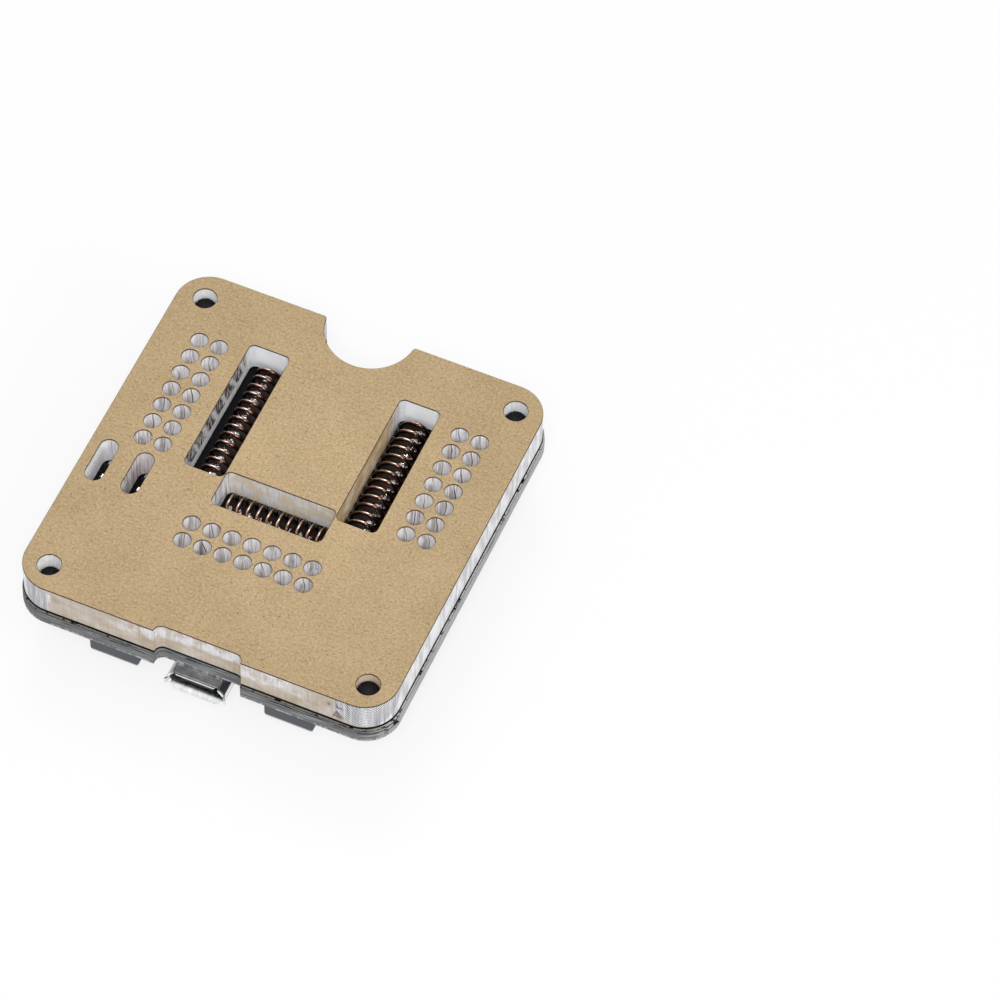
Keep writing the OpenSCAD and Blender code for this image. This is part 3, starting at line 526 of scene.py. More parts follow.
def board():
    """Near-black solder mask, and the cut laminate at the edges."""
    m = Maker("board_laminate", Specular_IOR_Level=0.12)
    x, y, z = (m.axis(name) for name in "XYZ")
    flat = m.span(m.maths("ABSOLUTE", m.facing((0, 0, 1))), 0.5, 0.6)
    layers = m.noise(1.0, 3, 0.7, (0.25, 0.25, 9.0), 0.2)
    # The edge is painted lighter on its right-facing side as painted light, and dark just below the
    # mask, partly the mask and partly painted shade of the gap, with dark dashes and light threads
    edge = m.ramp(layers, (0.32, 72, 73, 75), (0.44, 104, 105, 107), (0.54, 120, 121, 122),
                  (0.66, 172, 173, 173))
    # Painted light: the right-facing edge at the right end made lighter
    right = m.times(m.span(m.facing((1, 0, 0)), 0.6, 0.9), m.span(x, 15, 18), 0.45)
    edge = m.mix(right, edge, (216, 217, 218))
    # Partly painted shade: a dark band just below the board's top, under the gap beneath the
    # acrylic
    edge = m.mix(m.span(z, BOARD_TOP - 0.18, BOARD_TOP - 0.1, 0.0, 0.85), edge, (40, 40, 42))
    dashes = m.span(m.noise(1.0, 2, 0.5, (0.4, 0.4, 4.0)), 0.53, 0.58)
    edge = m.mix(m.times(m.within(z, BOARD_TOP - 0.45, 0.1), dashes), edge, (32, 32, 32))
    threads = m.span(m.noise(1.0, 2, 0.6, (2.2, 2.2, 0.4)), 0.45, 0.6, 0.0, 0.8)
    low = m.within(z, BOARD_BOTTOM + 0.2, 0.12, 0.06)
    edge = m.mix(m.times(low, threads), edge, (190, 191, 193))
    mask = m.mix(m.noise(0.8, 3), (13, 13, 17), (20, 20, 25))
    # A brown tint on the mask round the wires
    sides = m.times(m.within(m.maths("ABSOLUTE", x), BROWN_TINT_S, 1.3, 0.4),
                    m.within(y, SIDE_ROW_Y, 9.2))
    fronts = m.times(m.within(y, FRONT_ROW_Y - BROWN_TINT_S, 1.3, 0.4), m.within(x, 0, 6.4))
    brown_tint = m.times(m.most(sides, fronts), m.span(m.noise(1.6, 3), 0.35, 0.6, 0.4, 1.0),
                   m.span(z, BOARD_TOP - 0.2, BOARD_TOP - 0.1))
    mask = m.mix(brown_tint, mask, (46, 31, 25))
    # The rim that stands out past the acrylic is scraped bare, with bits of the mask left
    half = (PLATE_W / 2 - CORNER_R, (PLATE_FRONT + PLATE_BACK) / 2 - CORNER_R, 0)
    off = m.vector("SUBTRACT", m.at((1, 1, 0)), (0, (PLATE_BACK - PLATE_FRONT) / 2, 0))
    past = m.vector("SUBTRACT", m.vector("ABSOLUTE", off), half)
    reach = m.vector("LENGTH", m.vector("MAXIMUM", past))
    bits = m.noise(1.0, 3, 0.7, (1.2, 1.2, 1))
    rim = m.times(m.span(reach, CORNER_R + 0.07, CORNER_R + 0.12),
                  m.span(z, BOARD_TOP - 0.1, BOARD_TOP - 0.02), m.span(bits, 0.6, 0.54))
    bare = m.ramp(bits, (0.35, 112, 113, 106), (0.6, 142, 140, 128))
    bare = m.mix(m.span(x, 21.5, 23.2), bare, (186, 187, 186))
    m.paint(m.mix(flat, edge, m.mix(rim, mask, bare)))
    m.rough(m.span(flat, 0, 1, 0.75, 0.42))
    m.bump(layers, 0.2, 0.03)
    return m.material


def wire_metal():
    """Copper wire, coloured by which way it faces: dark brown as painted shade, with a painted
    pink-white highlight along its upper side.
    """
    m = Maker("spring_copper", Metallic=1.0)
    streak = m.noise(1.3, 4, 0.6)
    # Painted light: lighter where the surface faces up, as a highlight, and darker elsewhere, as
    # shade
    painted_light_crest = m.plus(m.facing((-0.25, 0.1, 0.96)), m.times(m.plus(streak, -0.5), 0.35))
    m.paint(m.ramp(painted_light_crest, (0.45, 58, 38, 32), (0.74, 84, 57, 47), (0.88, 150, 116, 100),
                   (0.97, 236, 212, 198)))
    m.rough(m.span(streak, 0.3, 0.7, 0.12, 0.24))
    m.bump(m.noise(6, 3), 0.15, 0.02)
    return m.material


def metal(name, dark, bright, smooth, rough, scale=2.0, stretch=(1, 1, 1), bump=0.1):
    m = Maker(name, Metallic=1.0)
    m.mottle(m.noise(scale, 4, 0.6, stretch), dark, bright, smooth, rough)
    m.bump(m.noise(scale * 3, 3, 0.6, stretch), bump, 0.02)
    return m.material


def plastic(name, dark, bright, smooth, rough, shine=0.5):
    m = Maker(name, Specular_IOR_Level=shine)
    m.mottle(m.noise(3.0, 4, 0.6), dark, bright, smooth, rough)
    m.bump(m.noise(12.0, 2), 0.2, 0.02)
    return m.material


MATERIALS = {
    "kraft_paper": kraft_paper(),
    "clear_acrylic": acrylic(),
    "board_laminate": board(),
    "black_steel": plastic("black_steel", (8, 8, 12), (20, 19, 26), 0.5, 0.7, 0.2),
    "spring_copper": wire_metal(),
    "solder": metal("bright_solder", (196, 198, 202), (254, 254, 254), 0.1, 0.2, 2.4, bump=1.0),
    "black_plastic": plastic("black_plastic", (22, 22, 23), (32, 32, 34), 0.4, 0.6),
    "gilt_pins": metal("gilt_pins", (196, 160, 88), (226, 196, 124), 0.18, 0.3),
    "plated_shell": metal("plated_shell", (206, 207, 208), (244, 245, 245), 0.2, 0.28, 0.9,
                          (1, 0.4, 1), 0.03),
    "slate_plastic": plastic("slate_plastic", (62, 65, 72), (76, 80, 88), 0.45, 0.62),
    "steel_sheet": metal("steel_sheet", (170, 172, 174), (204, 206, 207), 0.25, 0.4, 1.5,
                         (4, 0.4, 1)),
    "tinned_leads": metal("tinned_leads", (180, 182, 184), (214, 216, 217), 0.2, 0.34),
    "button_plastic": plastic("button_plastic", (24, 24, 26), (34, 34, 37), 0.35, 0.5),
    "white_plastic": plastic("white_plastic", (214, 213, 206), (226, 225, 219), 0.4, 0.55),
    "moulded_epoxy": plastic("moulded_epoxy", (28, 28, 29), (42, 42, 43), 0.55, 0.75),
    "resistor_glaze": plastic("resistor_glaze", (24, 24, 26), (36, 36, 40), 0.25, 0.4),
    "capacitor_ceramic": plastic("capacitor_ceramic", (150, 124, 94), (172, 146, 112), 0.45, 0.6),
    "lamp_epoxy": plastic("lamp_epoxy", (226, 220, 190), (238, 234, 210), 0.2, 0.35),
}
BURNT = burnt_rim()
WIRE_SOLDER = metal("wire_solder", (232, 232, 234), (255, 255, 255), 0.05, 0.12, 1.4, bump=0.3)
# Painted shade: near-black solder for the power switch, whose joints sit in deep shade under the
# slots
SHADE_BLACK_SOLDER = plastic("shade_black_solder", (16, 15, 15), (30, 28, 28), 0.5, 0.7, 0.2)

SLOT_OF = {part["node"]: part["material_slot"] for part in frame["record"]["subparts"]}
BODY_OF = {node: body for body, nodes in frame["record"]["behaviour"]["bodies"].items()
           for node in nodes}

for node, slot in SLOT_OF.items():
    shown = frame["nodes"][node].data.materials
    shown.clear()
    # The power switch's solder takes the near-black painted shade
    shown.append(SHADE_BLACK_SOLDER if node == "power_switch_solder" else MATERIALS[slot])


# Pieces


def mesh_data(mesh, name):
    """The bmesh as mesh data, and the bmesh freed."""
    data = bpy.data.meshes.new(name)
    mesh.to_mesh(data)
    mesh.free()
    return data


def shown_object(name, data):
    """A new object that is linked to the scene."""
    made = bpy.data.objects.new(name, data)
    bpy.context.scene.collection.objects.link(made)
    return made


def finish_piece(mesh, name, body, slot, replaced=(), materials=(), smooth=30):
    """Links a bmesh as a piece that rides on a body, with its materials and smooth faces."""
    bmesh.ops.recalc_face_normals(mesh, faces=mesh.faces)
    data = mesh_data(mesh, name)
    for material in materials or (MATERIALS[slot],):
        data.materials.append(material)
    piece = shown_object(name, data)
    data.shade_smooth()
    data.set_sharp_from_angle(angle=math.radians(smooth))
    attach(piece, body)
    if replaced:
        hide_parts(*replaced)
    return piece


def from_node(node):
    """A bmesh of a CAD node, welded and with its flat faces whole."""
    mesh = bmesh.new()
    mesh.from_mesh(frame["nodes"][node].data)
    bmesh.ops.remove_doubles(mesh, verts=mesh.verts, dist=1e-7)
    bmesh.ops.dissolve_limit(mesh, angle_limit=math.radians(0.5), verts=mesh.verts,
                             edges=mesh.edges)
    return mesh


def sharp_edges(mesh, least):
    """The edges whose faces turn by more than an angle in degrees."""
    return [e for e in mesh.edges
            if len(e.link_faces) == 2 and e.calc_face_angle() > math.radians(least)]


def edges_at(mesh, z):
    """The sharp edges at one height, in millimetres."""
    return [e for e in sharp_edges(mesh, 60) if all(abs(v.co.z / MM - z) < 0.01 for v in e.verts)]


def bevelled(mesh, edges, offset, segments, **settings):
    """Rounds edges by an offset in millimetres."""
    bmesh.ops.bevel(mesh, geom=edges, offset=offset * MM, segments=segments, affect="EDGES",
                    **settings)


def skin(mesh, rings, capped=False):
    """Faces from each ring of vertices to the next, and on the two end rings if capped."""
    count = len(rings[0])
    for a, b in zip(rings, rings[1:]):
        for k in range(count):
            mesh.faces.new((a[k], a[(k + 1) % count], b[(k + 1) % count], b[k]))
    if capped:
        mesh.faces.new(rings[0])
        mesh.faces.new(rings[-1])


def circle(count):
    """The angles of a count of points, evenly spread round a circle."""
    return [2 * math.pi * k / count for k in range(count)]


def box(mesh, middle, size, bevel):
    """A box about a point in metres, its size and its edge rounding in millimetres."""
    grow = Matrix.Diagonal((*(v * MM for v in size), 1))
    made = bmesh.ops.create_cube(mesh, size=1, matrix=Matrix.Translation(middle) @ grow)
    if bevel:
        bevelled(mesh, list({e for v in made["verts"] for e in v.link_edges}), bevel, 2)


def paper_piece():
    """The sheet, with a narrow burnt rim, its back sunk a hair into the acrylic as if glued."""
    mesh = from_node("protective_paper")
    bevelled(mesh, edges_at(mesh, 0), 0.055, 1, material=1)
    for face in mesh.faces:
        face.material_index = 0 if abs(face.normal.z) > 0.9 else 1
    for vert in mesh.verts:
        if vert.co.z < -0.8 * PAPER_T * MM:
            vert.co.z -= 0.012 * MM
    return finish_piece(mesh, "kraft_sheet", "fixture", "kraft_paper", ("protective_paper",),
                        (MATERIALS["kraft_paper"], BURNT))


def wire_path():
    """The wire's centre line in its own plane: outwards and up from the board's top."""
    arch_s = LEG_S + ARCH_R
    crown_z = PAD_T + 0.9 * WIRE_R + CURL_R
    top_z = crown_z + CROWN_R
    hook_z = -BOARD_T - HOOK_DROP
    path = []

    def bend(s, z, r, start, end, steps):
        for k in range(steps + 1):
            a = math.radians(start + (end - start) * k / steps)
            path.append((s + r * math.cos(a), z + r * math.sin(a)))

    bend(FOOT_S, crown_z, CURL_R, -90, 0, 8)
    bend(arch_s + ARCH_FLAT, crown_z, CROWN_R, 6, 90, 14)
    bend(arch_s, top_z - ARCH_R, ARCH_R, 90, 180, 16)
    path.append((LEG_S, -BOARD_T / 2))
    bend(LEG_S + HOOK_R, hook_z, HOOK_R, 180, 360, 16)
    path.append((LEG_S + 2 * HOOK_R, hook_z + HOOK_END))
    return [Vector((s, 0, z)) for s, z in path]


def tube(mesh, points, radius):
    """A closed round tube along points of equal y. Returns its vertices."""
    up = Vector((0, 1, 0))
    rings = []
    for k, p in enumerate(points):
        along = (points[min(k + 1, len(points) - 1)] - points[max(k - 1, 0)]).normalized()
        side = along.cross(up).normalized()
        spots = [p + radius * (math.cos(a) * side + math.sin(a) * up) for a in circle(WIRE_SIDES)]
        rings.append([mesh.verts.new(spot) for spot in spots])
    skin(mesh, rings, capped=True)
    return [vert for ring in rings for vert in ring]


def row_places(side):
    """A matrix for each contact of a row, from the wire's own millimetres to the CAD frame."""
    front = side == "front"
    count = FRONT_CONTACTS if front else SIDE_CONTACTS
    turn = Matrix.Rotation({"left": math.pi, "right": 0.0, "front": -math.pi / 2}[side], 4, "Z")
    for k in range(count):
        off = (k - (count - 1) / 2) * PAD_PITCH
        x, y = (off, FRONT_ROW_Y) if front else (0, SIDE_ROW_Y + off)
        place = Matrix.Translation((x, y, BOARD_TOP))
        yield Matrix.Diagonal((MM, MM, MM, 1)) @ place @ turn


def contact_rows():
    """The spring wires, each a little askew, and the solder at their feet."""
    path = wire_path()
    rng = random.Random(7)
    for side in ("left", "right", "front"):
        wires = bmesh.new()
        joints = bmesh.new()
        for place in row_places(side):
            lean = Matrix.Rotation(math.radians(rng.uniform(-1.2, 1.2)), 4, "X")
            place = place @ Matrix.Translation((0, rng.uniform(-0.05, 0.05), 0))
            bmesh.ops.transform(wires, matrix=place @ lean, verts=tube(wires, path, WIRE_R))
            add_joint(joints, place, rng, side == "front")
        finish_piece(wires, f"{side}_wires", f"{side}_contact_row", "spring_copper",
                     (f"{side}_contacts",))
        finish_piece(joints, f"{side}_wire_joints", "fixture", "solder",
                     (f"{side}_contact_solder",), (WIRE_SOLDER,), 18)


def add_joint(mesh, place, rng, tall):
    """A lumpy drop of solder on its pad, drawn out to the wire's foot."""
    middle = FOOT_S - FLEX_GAP - JOINT_R
    rise = rng.uniform(0.48, 0.56) * (1.5 if tall else 1)
    lean = rng.uniform(-0.06, 0.06)
    tail = 2.4 if tall else 1.75
    rings = []
    for j in range(JOINT_LEVELS):
        t = j / (JOINT_LEVELS - 1)
        r = JOINT_R * math.cos(t * math.pi / 2) ** 0.8
        z = rise * math.sin(t * math.pi / 2) ** 0.9
        ring = []
        for a in circle(JOINT_SIDES):
            c, s = math.cos(a), math.sin(a)
            lump = noise.noise(Vector((c * 1.3, s * 1.3, t * 1.6 + lean * 90)))
            bulge = (1 + 0.12 * c - 0.08 * math.cos(2 * a + lean * 20)) * (1 + 0.3 * lump)
            spot = Vector((middle + r * bulge * (tail if c < 0 else 1.0) * c + lean * t,
                           r * min(bulge, 1.15) * 0.95 * s, 0.01 + z * (1 + 0.2 * lump)))
            ring.append(mesh.verts.new(place @ spot))
        rings.append(ring)
    skin(mesh, rings, capped=True)


def rounded_corners(corners, radius, steps=5):
    """A closed polygon with each corner rounded: corners and result as (x, h) pairs."""
    out = []
    for k, here in enumerate(corners):
        here = Vector(here)
        back = (Vector(corners[k - 1]) - here).normalized()
        ahead = (Vector(corners[(k + 1) % len(corners)]) - here).normalized()
        half = math.acos(max(-1, min(1, back.dot(ahead)))) / 2
        reach = radius / math.tan(half)
        centre = here + (back + ahead).normalized() * radius / math.sin(half)
        a, b = here + back * reach - centre, here + ahead * reach - centre
        turn = a.angle_signed(b)
        out += [centre + Matrix.Rotation(-turn * j / steps, 2) @ a for j in range(steps + 1)]
    return out


def usb_place(x, y, h):
    """A point of the socket: x to the right, y back from the mouth, h down from the board."""
    return Vector((x, USB_Y + y, BOARD_BOTTOM - h)) * MM


def sheet_flap(mesh, centre, along, out, half, profile, t=USB_SHEET):
    """A bent flap of sheet at the mouth: profile lists (forward, outward) places from its root."""
    rows = []
    for k, (forward, outward) in enumerate(profile):
        before, after = profile[max(k - 1, 0)], profile[min(k + 1, len(profile) - 1)]
        step = Vector((after[0] - before[0], after[1] - before[1])).normalized()
        normal = Vector((-step.y, step.x)) * t
        width = half * (1 - 0.1 * (k / (len(profile) - 1)) ** 3)
        row = []
        for side, layer in ((-1, 0), (1, 0), (1, -1), (-1, -1)):
            spot = centre + along * side * width + out * (outward + normal.y * layer)
            row.append(mesh.verts.new(usb_place(spot.x, -forward - normal.x * layer, spot.y)))
        rows.append(row)
    skin(mesh, rows, capped=True)


def usb_walls(mesh):
    """The shell's thin walls, rounded over at the mouth."""
    n, w, h, t, bevel = USB_NARROW, USB_WIDE, USB_H, USB_SHEET, USB_BEVEL
    outer = rounded_corners([(-n, 0.0), (n, 0.0), (w, bevel), (w, h), (-w, h), (-w, bevel)], 0.34)
    inner = rounded_corners([(-n + 0.1, t), (n - 0.1, t), (w - t, bevel + 0.06),
                             (w - t, h - t), (-w + t, h - t), (-w + t, bevel + 0.06)], 0.2)
    middle = Vector((0, h / 2))
    rings = []
    for outline, y, grow in ((inner, 4.9, 0), (inner, 0.5, 0), (inner, 0.3, 0.03),
                             (inner, 0.12, 0.1), (inner, 0.0, 0.18), (outer, -0.06, 0.04),
                             (outer, 0.0, 0.05), (outer, 0.14, 0.02), (outer, 0.4, 0),
                             (outer, 5.0, 0)):
        ring = []
        for q in outline:
            spot = q + (q - middle).normalized() * grow
            ring.append(mesh.verts.new(usb_place(spot.x, y, spot.y)))
        rings.append(ring)
    skin(mesh, rings)


def usb_flaps(mesh):
    """The lips turned out round the mouth, and the fixing tabs bent out onto the board."""
    level, down = Vector((1, 0)), Vector((0, 1))
    run = USB_WIDE - USB_NARROW
    sheet_flap(mesh, Vector((0.05, USB_H)), level, down, 3.02,
               [(-0.12, -0.06), (0.0, -0.03), (0.1, 0.02), (0.2, 0.09), (0.3, 0.18), (0.38, 0.28)])
    sheet_flap(mesh, Vector((0, 0)), level, -down, 2.5,
               [(-0.1, -0.05), (0.04, 0.0), (0.16, 0.02), (0.26, 0.06), (0.33, 0.12)],
               USB_SHEET * 0.5)
    for side in (-1, 1):
        sheet_flap(mesh, Vector((side * USB_WIDE, 1.85)), down, level * side, 0.42,
                   [(-0.1, -0.04), (0.04, 0.0), (0.16, 0.06), (0.26, 0.16), (0.33, 0.27)])
        bevel_middle = Vector((side * (USB_WIDE + USB_NARROW) / 2, USB_BEVEL / 2))
        along, out = Vector((side * run, USB_BEVEL)), Vector((side * USB_BEVEL, -run))
        sheet_flap(mesh, bevel_middle, along.normalized(), out.normalized(), 0.5,
                   [(-0.1, -0.04), (0.04, 0.0), (0.14, 0.06), (0.22, 0.14), (0.3, 0.24)])
        box(mesh, usb_place(side * (USB_WIDE + 0.2), 2.75, 0.13), (0.6, 1.4, 0.25), 0.05)


def usb_piece():
    """The socket's shell, with two spring tongues and the folded seam in its wide side."""
    mesh = bmesh.new()
    usb_walls(mesh)
    usb_flaps(mesh)
    for x in (-1.6, 1.6):
        box(mesh, usb_place(x, 2.2, USB_H + 0.02), (0.75, 2.0, 0.1), 0.03)
    box(mesh, usb_place(0, 3.0, USB_H + 0.01), (0.06, 3.6, 0.06), 0.0)
    return finish_piece(mesh, "usb_shell_dressed", "fixture", "plated_shell", ("usb_shell",),
                        smooth=40)


def outer_loop(node, z):
    """The node's outermost outline at one height, as (x, y) points in millimetres, in order."""
    mesh = from_node(node)
    ahead = {}
    for e in edges_at(mesh, z):
        for a, b in (e.verts, reversed(e.verts)):
            ahead.setdefault(a, []).append(b)
    start = max(ahead, key=lambda v: v.co.x)
    loop, here, last = [start], ahead[start][0], start
    while here is not start:
        loop.append(here)
        here, last = next(v for v in ahead[here] if v is not last), here
    points = [Vector((v.co.x / MM, v.co.y / MM)) for v in loop]
    mesh.free()
    return points


def resampled(points, step):
    """The closed outline with points at even steps."""
    out = []
    for a, b in zip(points, points[1:] + points[:1]):
        pieces = max(1, round((b - a).length / step))
        out += [a.lerp(b, k / pieces) for k in range(pieces)]
    return out


# The laminate's layers, as depths below the board's top with how far each stands out, 0 to 1
LAYERS = ((0, 0), (0.06, 0.5), (0.3, 1.0), (0.42, 0.15), (0.72, 0.9), (0.84, 0.2),
          (1.16, 1.0), (1.28, 0.1), (1.6, 0.8), (1.72, 0.3), (1.94, 0.6), (2.0, 0))
# Where the board's broken nub is, with its half size
NUB = (23.3, -21.7)
NUB_HALF = (0.7, 0.9)
# How far the rim reaches in over the board's faces, and how far off them
RIM_IN = 0.1
RIM_OFF = 0.004


def rim_push(p, depth, ridge):
    """How far the rim stands out of the board's flat edge at a point and depth."""
    rough = noise.noise(Vector((p.x * 1.7, p.y * 1.7, depth * 6)))
    worn = noise.noise(Vector((p.x * 0.5, p.y * 0.5, depth * 2.5 + 9)))
    push = 0.006 + 0.035 * ridge * (0.75 + 0.5 * rough)
    if ridge > 0.3:
        push += max(0, worn - 0.25) * 0.06
    off_x, off_y = abs(p.x - NUB[0]), abs(p.y - NUB[1])
    if off_x < NUB_HALF[0] and off_y < NUB_HALF[1] and 0.2 < depth < 1.5:
        push += 0.3 * (0.5 + 1.2 * abs(noise.noise(Vector((p.x * 4, p.y * 4, depth * 4)))))
    return push


def board_rim():
    """The laminate's cut edge: ragged layers of glass cloth, and a nub at the front right."""
    path = resampled(outer_loop("circuit_board", BOARD_TOP), 0.3)
    area = sum(a.x * b.y - b.x * a.y for a, b in zip(path, path[1:] + path[:1]))
    if area < 0:
        path.reverse()
    mesh = bmesh.new()
    outward = []
    for k in range(len(path)):
        along = (path[(k + 1) % len(path)] - path[k - 1]).normalized()
        outward.append(Vector((along.y, -along.x)))

    def ring_at(z, push_at):
        spots = [p + out * push_at(p) for p, out in zip(path, outward)]
        return [mesh.verts.new(Vector((spot.x, spot.y, z)) * MM) for spot in spots]

    rings = [ring_at(BOARD_TOP - depth, lambda p: rim_push(p, depth, ridge))
             for depth, ridge in LAYERS]
    top, bottom = (ring_at(z, lambda p: -RIM_IN)
                   for z in (BOARD_TOP + RIM_OFF, BOARD_BOTTOM - RIM_OFF))
    skin(mesh, [top, *rings, bottom])
    return finish_piece(mesh, "laminate_rim", "fixture", "board_laminate", smooth=60)


def dressed(node, offset):
    """A piece in place of a CAD node, with its sharp edges rounded."""
    mesh = from_node(node)
    bevelled(mesh, sharp_edges(mesh, 40), offset, 2, clamp_overlap=True)
    return finish_piece(mesh, f"{node}_dressed", BODY_OF[node], SLOT_OF[node], (node,), smooth=35)


def islands(mesh):
    """The separate solids of a bmesh, each as its list of vertices."""
    seen, out = set(), []
    for first in mesh.verts:
        if first in seen:
            continue
        seen.add(first)
        group, todo = [], [first]
        while todo:
            v = todo.pop()
            group.append(v)
            for e in v.link_edges:
                w = e.other_vert(v)
                if w not in seen:
                    seen.add(w)
                    todo.append(w)
        out.append(group)
    return out


def pad_and_mound(mesh, group):
    """A pad and a flat mound of solder where a solid stands on the board."""
    foot = [v.co / MM for v in group if v.co.z / MM > BOARD_BOTTOM - 0.25]
    low = Vector((min(v.x for v in foot), min(v.y for v in foot)))
    high = Vector((max(v.x for v in foot), max(v.y for v in foot)))
    (x, y), (w, d) = (low + high) / 2, high - low
    box(mesh, Vector((x, y, BOARD_BOTTOM - 0.012)) * MM, (w + 0.36, d + 0.36, 0.04), 0.012)
    made = bmesh.ops.create_uvsphere(mesh, u_segments=14, v_segments=8, radius=0.5 * MM)
    place = Matrix.Translation(Vector((x, y, BOARD_BOTTOM - 0.03)) * MM)
    grow = Matrix.Diagonal((w + 0.24, d + 0.24, 0.22, 1))
    bmesh.ops.transform(mesh, matrix=place @ grow, verts=made["verts"])


def surface_pads():
    """A pad and a little solder under each lead and end cap on the component side."""
    mesh = bmesh.new()
    for node in ("serial_chip_leads", "regulator_leads", "transistor_leads",
                 "boot_switch_leads", "reset_switch_leads", "passive_end_caps"):
        cad = from_node(node)
        for group in islands(cad):
            pad_and_mound(mesh, group)
        cad.free()
    return finish_piece(mesh, "surface_solder", "fixture", "solder", smooth=50)


def strip(mesh, points, width, rise):
    """A raised line along points on the board's lower face."""
    for a, b in zip(points, points[1:]):
        a, b = Vector(a), Vector(b)
        along = (b - a).normalized()
        side = Vector((-along.y, along.x)) * width / 2
        a, b = a - along * width * 0.2, b + along * width * 0.2
        rings = []
        for z, share in ((BOARD_BOTTOM, 1.0), (BOARD_BOTTOM - rise, 0.8)):
            corners = (a + side * share, b + side * share, b - side * share, a - side * share)
            rings.append([mesh.verts.new(Vector((q.x, q.y, z)) * MM) for q in corners])
        mesh.faces.new(rings[1])
        skin(mesh, rings)


TRACK_W = 0.3
TRACK_T = 0.025
# Tracks between the parts at the front, as points in millimetres
PART_TRACKS = (
    ((11.6, -10.9), (9.4, -10.9), (8.4, -11.9), (8.4, -18.6), (6.2, -20.8)),
    ((11.6, -12.2), (9.9, -12.2), (9.1, -13), (9.1, -19)),
    ((-12.4, -10.7), (-10.8, -10.7), (-9.2, -12.3), (-9.2, -14)),
    ((-16.8, -13), (-18.9, -13), (-20, -11.9), (-20, -9.4)),
    ((18.8, -10.6), (21.6, -7.8), (21.6, -2), (20, -0.4)),
    ((-1.3, -17), (-1.3, -18.6)),
    ((1.3, -17), (1.3, -18.6)),
)


def board_tracks():
    """Tracks under the mask, from the contacts to the header pins and between the parts."""
    mesh = bmesh.new()
    lines = []
    for side in (-1, 1):
        for c in range(7):
            y = HEADER_Y + (c - 3) * PIN_PITCH
            near_pin = ((15.3, y), (14.7, y), (14.37, y - 0.33), (8.1, y - 0.33))
            far_pin = ((17.9, y), (17.0, y + 0.93), (8.1, y + 0.93))
            lines += [[(side * px, py) for px, py in line] for line in (near_pin, far_pin)]
    for k in range(FRONT_CONTACTS):
        x = (k - (FRONT_CONTACTS - 1) / 2) * PAD_PITCH
        if k % 2:
            lines.append([(x, -1.6), (x, -6.6), (x + 0.6, -7.2), (x + 0.6, -9.8), (x - 0.6, -11.3)])
        else:
            lines.append([(x, -1.6), (x, -7.4), (x + 0.63, -8.1), (x + 0.63, -8.9)])
    for line in (*lines, *PART_TRACKS):
        strip(mesh, line, TRACK_W, TRACK_T)
    return finish_piece(mesh, "board_tracks", "fixture", "board_laminate")


# Plated rings: their thickness, outer and inner radius, and where the vias are
PLATING_T = 0.03
VIA_RADII = (0.36, 0.16)
SCREW_RADII = (2.95, SCREW_HOLE_R)
VIAS = ((8.4, -18.6), (9.1, -19), (-9.2, -14), (-20, -9.4), (21.6, -2), (20, -0.4),
        (-1.3, -18.6), (1.3, -18.6), (12.2, 17.6), (-12.2, 17.6), (0, -4.2), (5.2, -18.2),
        (-5.4, -18.4), (22, 3), (-22, 3), (22, 12), (-22, 12))


def plated_ring(mesh, x, y, outer, inner):
    """A flat plated ring on the board's lower face."""
    low = BOARD_BOTTOM - PLATING_T
    loops = []
    for r, z in ((outer, BOARD_BOTTOM), (outer, low), (inner, low), (inner, BOARD_BOTTOM)):
        spots = [Vector((x + r * math.cos(a), y + r * math.sin(a), z)) for a in circle(20)]
        loops.append([mesh.verts.new(spot * MM) for spot in spots])
    skin(mesh, loops)


def plated_rings():
    """Rings round the vias and the screw holes."""
    mesh = bmesh.new()
    for x, y in VIAS:
        plated_ring(mesh, x, y, *VIA_RADII)
    for x in (-SCREW_X, SCREW_X):
        for y in (-SCREW_Y, SCREW_Y):
            plated_ring(mesh, x, y, *SCREW_RADII)
    return finish_piece(mesh, "plated_rings", "fixture", "tinned_leads", smooth=50)


# The printed lines, and the outlines of a header and of a push switch
INK_W = 0.15
INK_T = 0.015
HEADER_MARK = (5.6, 18.3)
SWITCH_MARK = (6.7, 6.7)


def board_marking():
    """Printed outlines round the parts, without any letters."""
    mesh = bmesh.new()

    def outline(x, y, w, d):
        a, b, c, e = x - w / 2, x + w / 2, y - d / 2, y + d / 2
        for line in ([(a, c), (b, c)], [(b, c), (b, e)], [(b, e), (a, e)], [(a, e), (a, c)]):
            strip(mesh, line, INK_W, INK_T)

    for side in (-1, 1):
        outline(side * HEADER_X, HEADER_Y, *HEADER_MARK)
        outline(0.1 + side * 11, -20.45, *SWITCH_MARK)
        strip(mesh, [(side * 9.0, -1.3), (side * 9.0, 24.0)], INK_W, INK_T)
    outline(0, FRONT_HEADER_Y, *reversed(HEADER_MARK))
    outline(POWER_X, POWER_Y, 6.4, 6.4)
    outline(15.2, -13.2, 10.4, 3.1)
    outline(-14.6, -13, 4.0, 7.0)
    strip(mesh, [(-9.0, -1.3), (-9.0, -1.9), (9.0, -1.9), (9.0, -1.3)], INK_W, INK_T)
    for x, y in ((9.6, -11.2), (-6.9, -6.9), (19.9, 15.6), (-13.4, 15.6)):
        strip(mesh, [(x - 0.25, y), (x + 0.25, y)], 0.5, INK_T)
    return finish_piece(mesh, "board_marking", "fixture", "white_plastic")


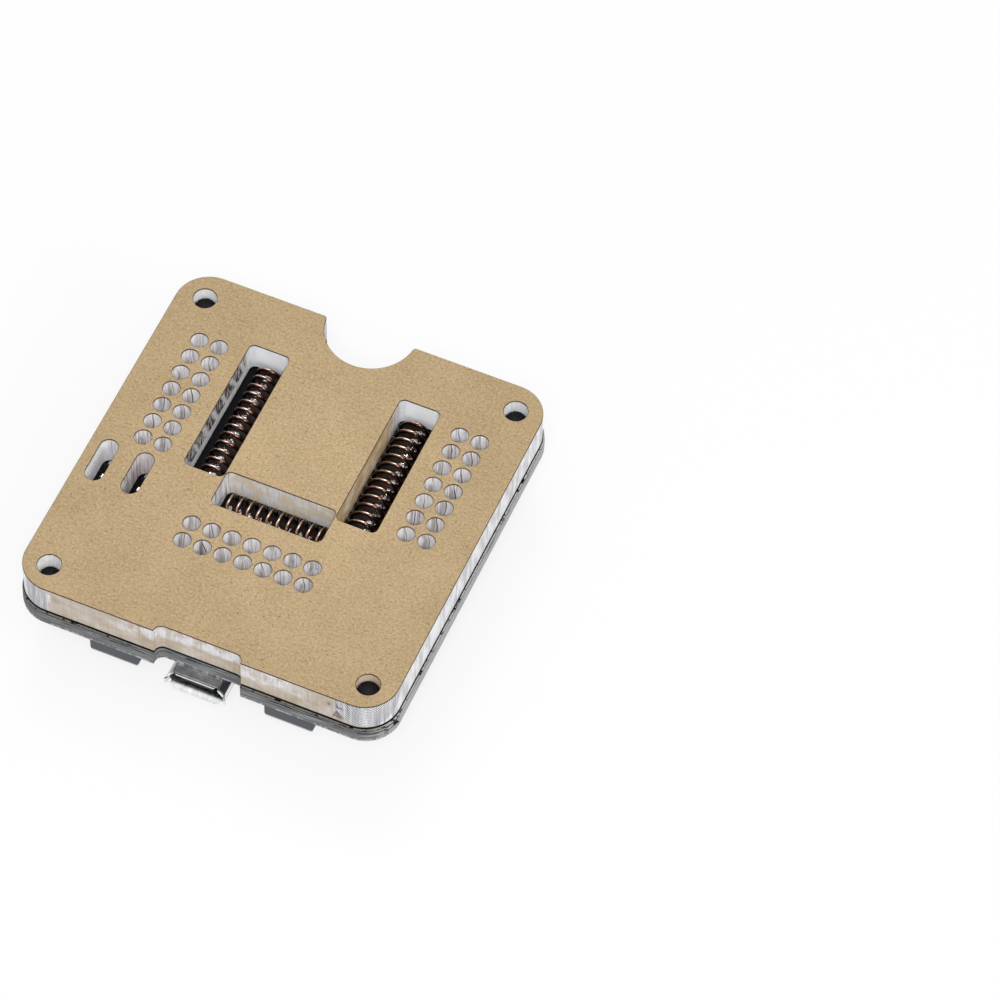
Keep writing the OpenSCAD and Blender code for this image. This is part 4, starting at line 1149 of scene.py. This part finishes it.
# The nodes that only have their edges rounded, with the rounding in millimetres
ROUNDED = {
    "left_header_base": 0.08, "right_header_base": 0.08, "front_header_base": 0.08,
    "boot_switch_base": 0.06, "reset_switch_base": 0.06,
    "boot_switch_cover": 0.05, "reset_switch_cover": 0.05,
    "boot_button": 0.14, "reset_button": 0.14,
    "power_switch_housing": 0.12, "power_switch_clip": 0.06, "power_plunger": 0.12,
    "serial_chip": 0.06, "voltage_regulator": 0.06, "transistors": 0.04, "resistors": 0.03,
    "capacitors": 0.06, "status_leds": 0.08, "passive_end_caps": 0.05, "corner_screws": 0.06,
}

paper_piece()
contact_rows()
usb_piece()
board_rim()
surface_pads()
board_tracks()
plated_rings()
board_marking()
for name, radius in ROUNDED.items():
    dressed(name, radius)


# Stage, light and camera

FLOOR_SIZE = 3.0
FLOOR_BELOW = 0.00005
FLOOR_GLOW = 0.8
DOME_LOW = 0.18
DOME_HIGH = 0.6
# Each lamp's name, place, size and power
LAMPS = (("key", (-0.2, 0.4, 0.8), 0.3, 1.2),
         ("front", (0.22, -0.52, 0.82), 0.25, 4.5),
         ("right", (0.8, -0.25, 0.6), 0.4, 2.4))


def stage_floor(z):
    """A pale matt floor that glows where it is seen, and lights the part only as a floor does."""
    m = Maker("floor", Roughness=0.9)
    m.paint((246, 246, 246))
    m.cover(m.times(m.background_rays(), FLOOR_GLOW), m.node("Emission", {"Color": WHITE}))
    mesh = bmesh.new()
    bmesh.ops.create_grid(mesh, x_segments=1, y_segments=1, size=FLOOR_SIZE)
    bmesh.ops.translate(mesh, verts=mesh.verts, vec=(0, 0, z))
    floor = shown_object("floor", mesh_data(mesh, "floor"))
    floor.data.materials.append(m.material)


def lamp(name, place, size, power):
    """A round lamp that points at the part."""
    data = bpy.data.lights.new(name, "AREA")
    data.shape = "DISK"
    data.size = size
    data.energy = power
    light = shown_object(name, data)
    light.location = place
    light.rotation_euler = (-Vector(place)).to_track_quat("-Z", "Y").to_euler()


def world():
    """White where it is seen, and a plain soft dome, brighter overhead, as light."""
    made = bpy.data.worlds.new("studio")
    bpy.context.scene.world = made
    made.use_nodes = True
    n = Nodes(made.node_tree)
    up = n.part_of(n.node("TexCoord").outputs["Generated"], "Z")
    dome = n.span(up, 0.0, 1.0, DOME_LOW, DOME_HIGH)
    back = made.node_tree.nodes["Background"].inputs
    n.feed(back["Color"], WHITE)
    n.feed(back["Strength"], n.span(n.background_rays(), 0.0, 1.0, dome, 1.0))


def camera():
    """The camera as fitted to the photograph."""
    data = bpy.data.cameras.new("camera")
    data.sensor_width = CAMERA_SENSOR
    data.lens = CAMERA_LENS
    data.clip_start, data.clip_end = CAMERA_CLIP
    made = shown_object("camera", data)
    turn = Matrix(CAMERA_AXES).transposed().to_4x4()
    made.matrix_world = Matrix.Translation(Vector(CAMERA_PLACE) * MM) @ turn
    bpy.context.scene.camera = made


camera()
world()
stage_floor(CAD_BOX[0].z - FLOOR_BELOW)
for settings in LAMPS:
    lamp(*settings)

scene = bpy.context.scene
scene.view_settings.view_transform = "Standard"
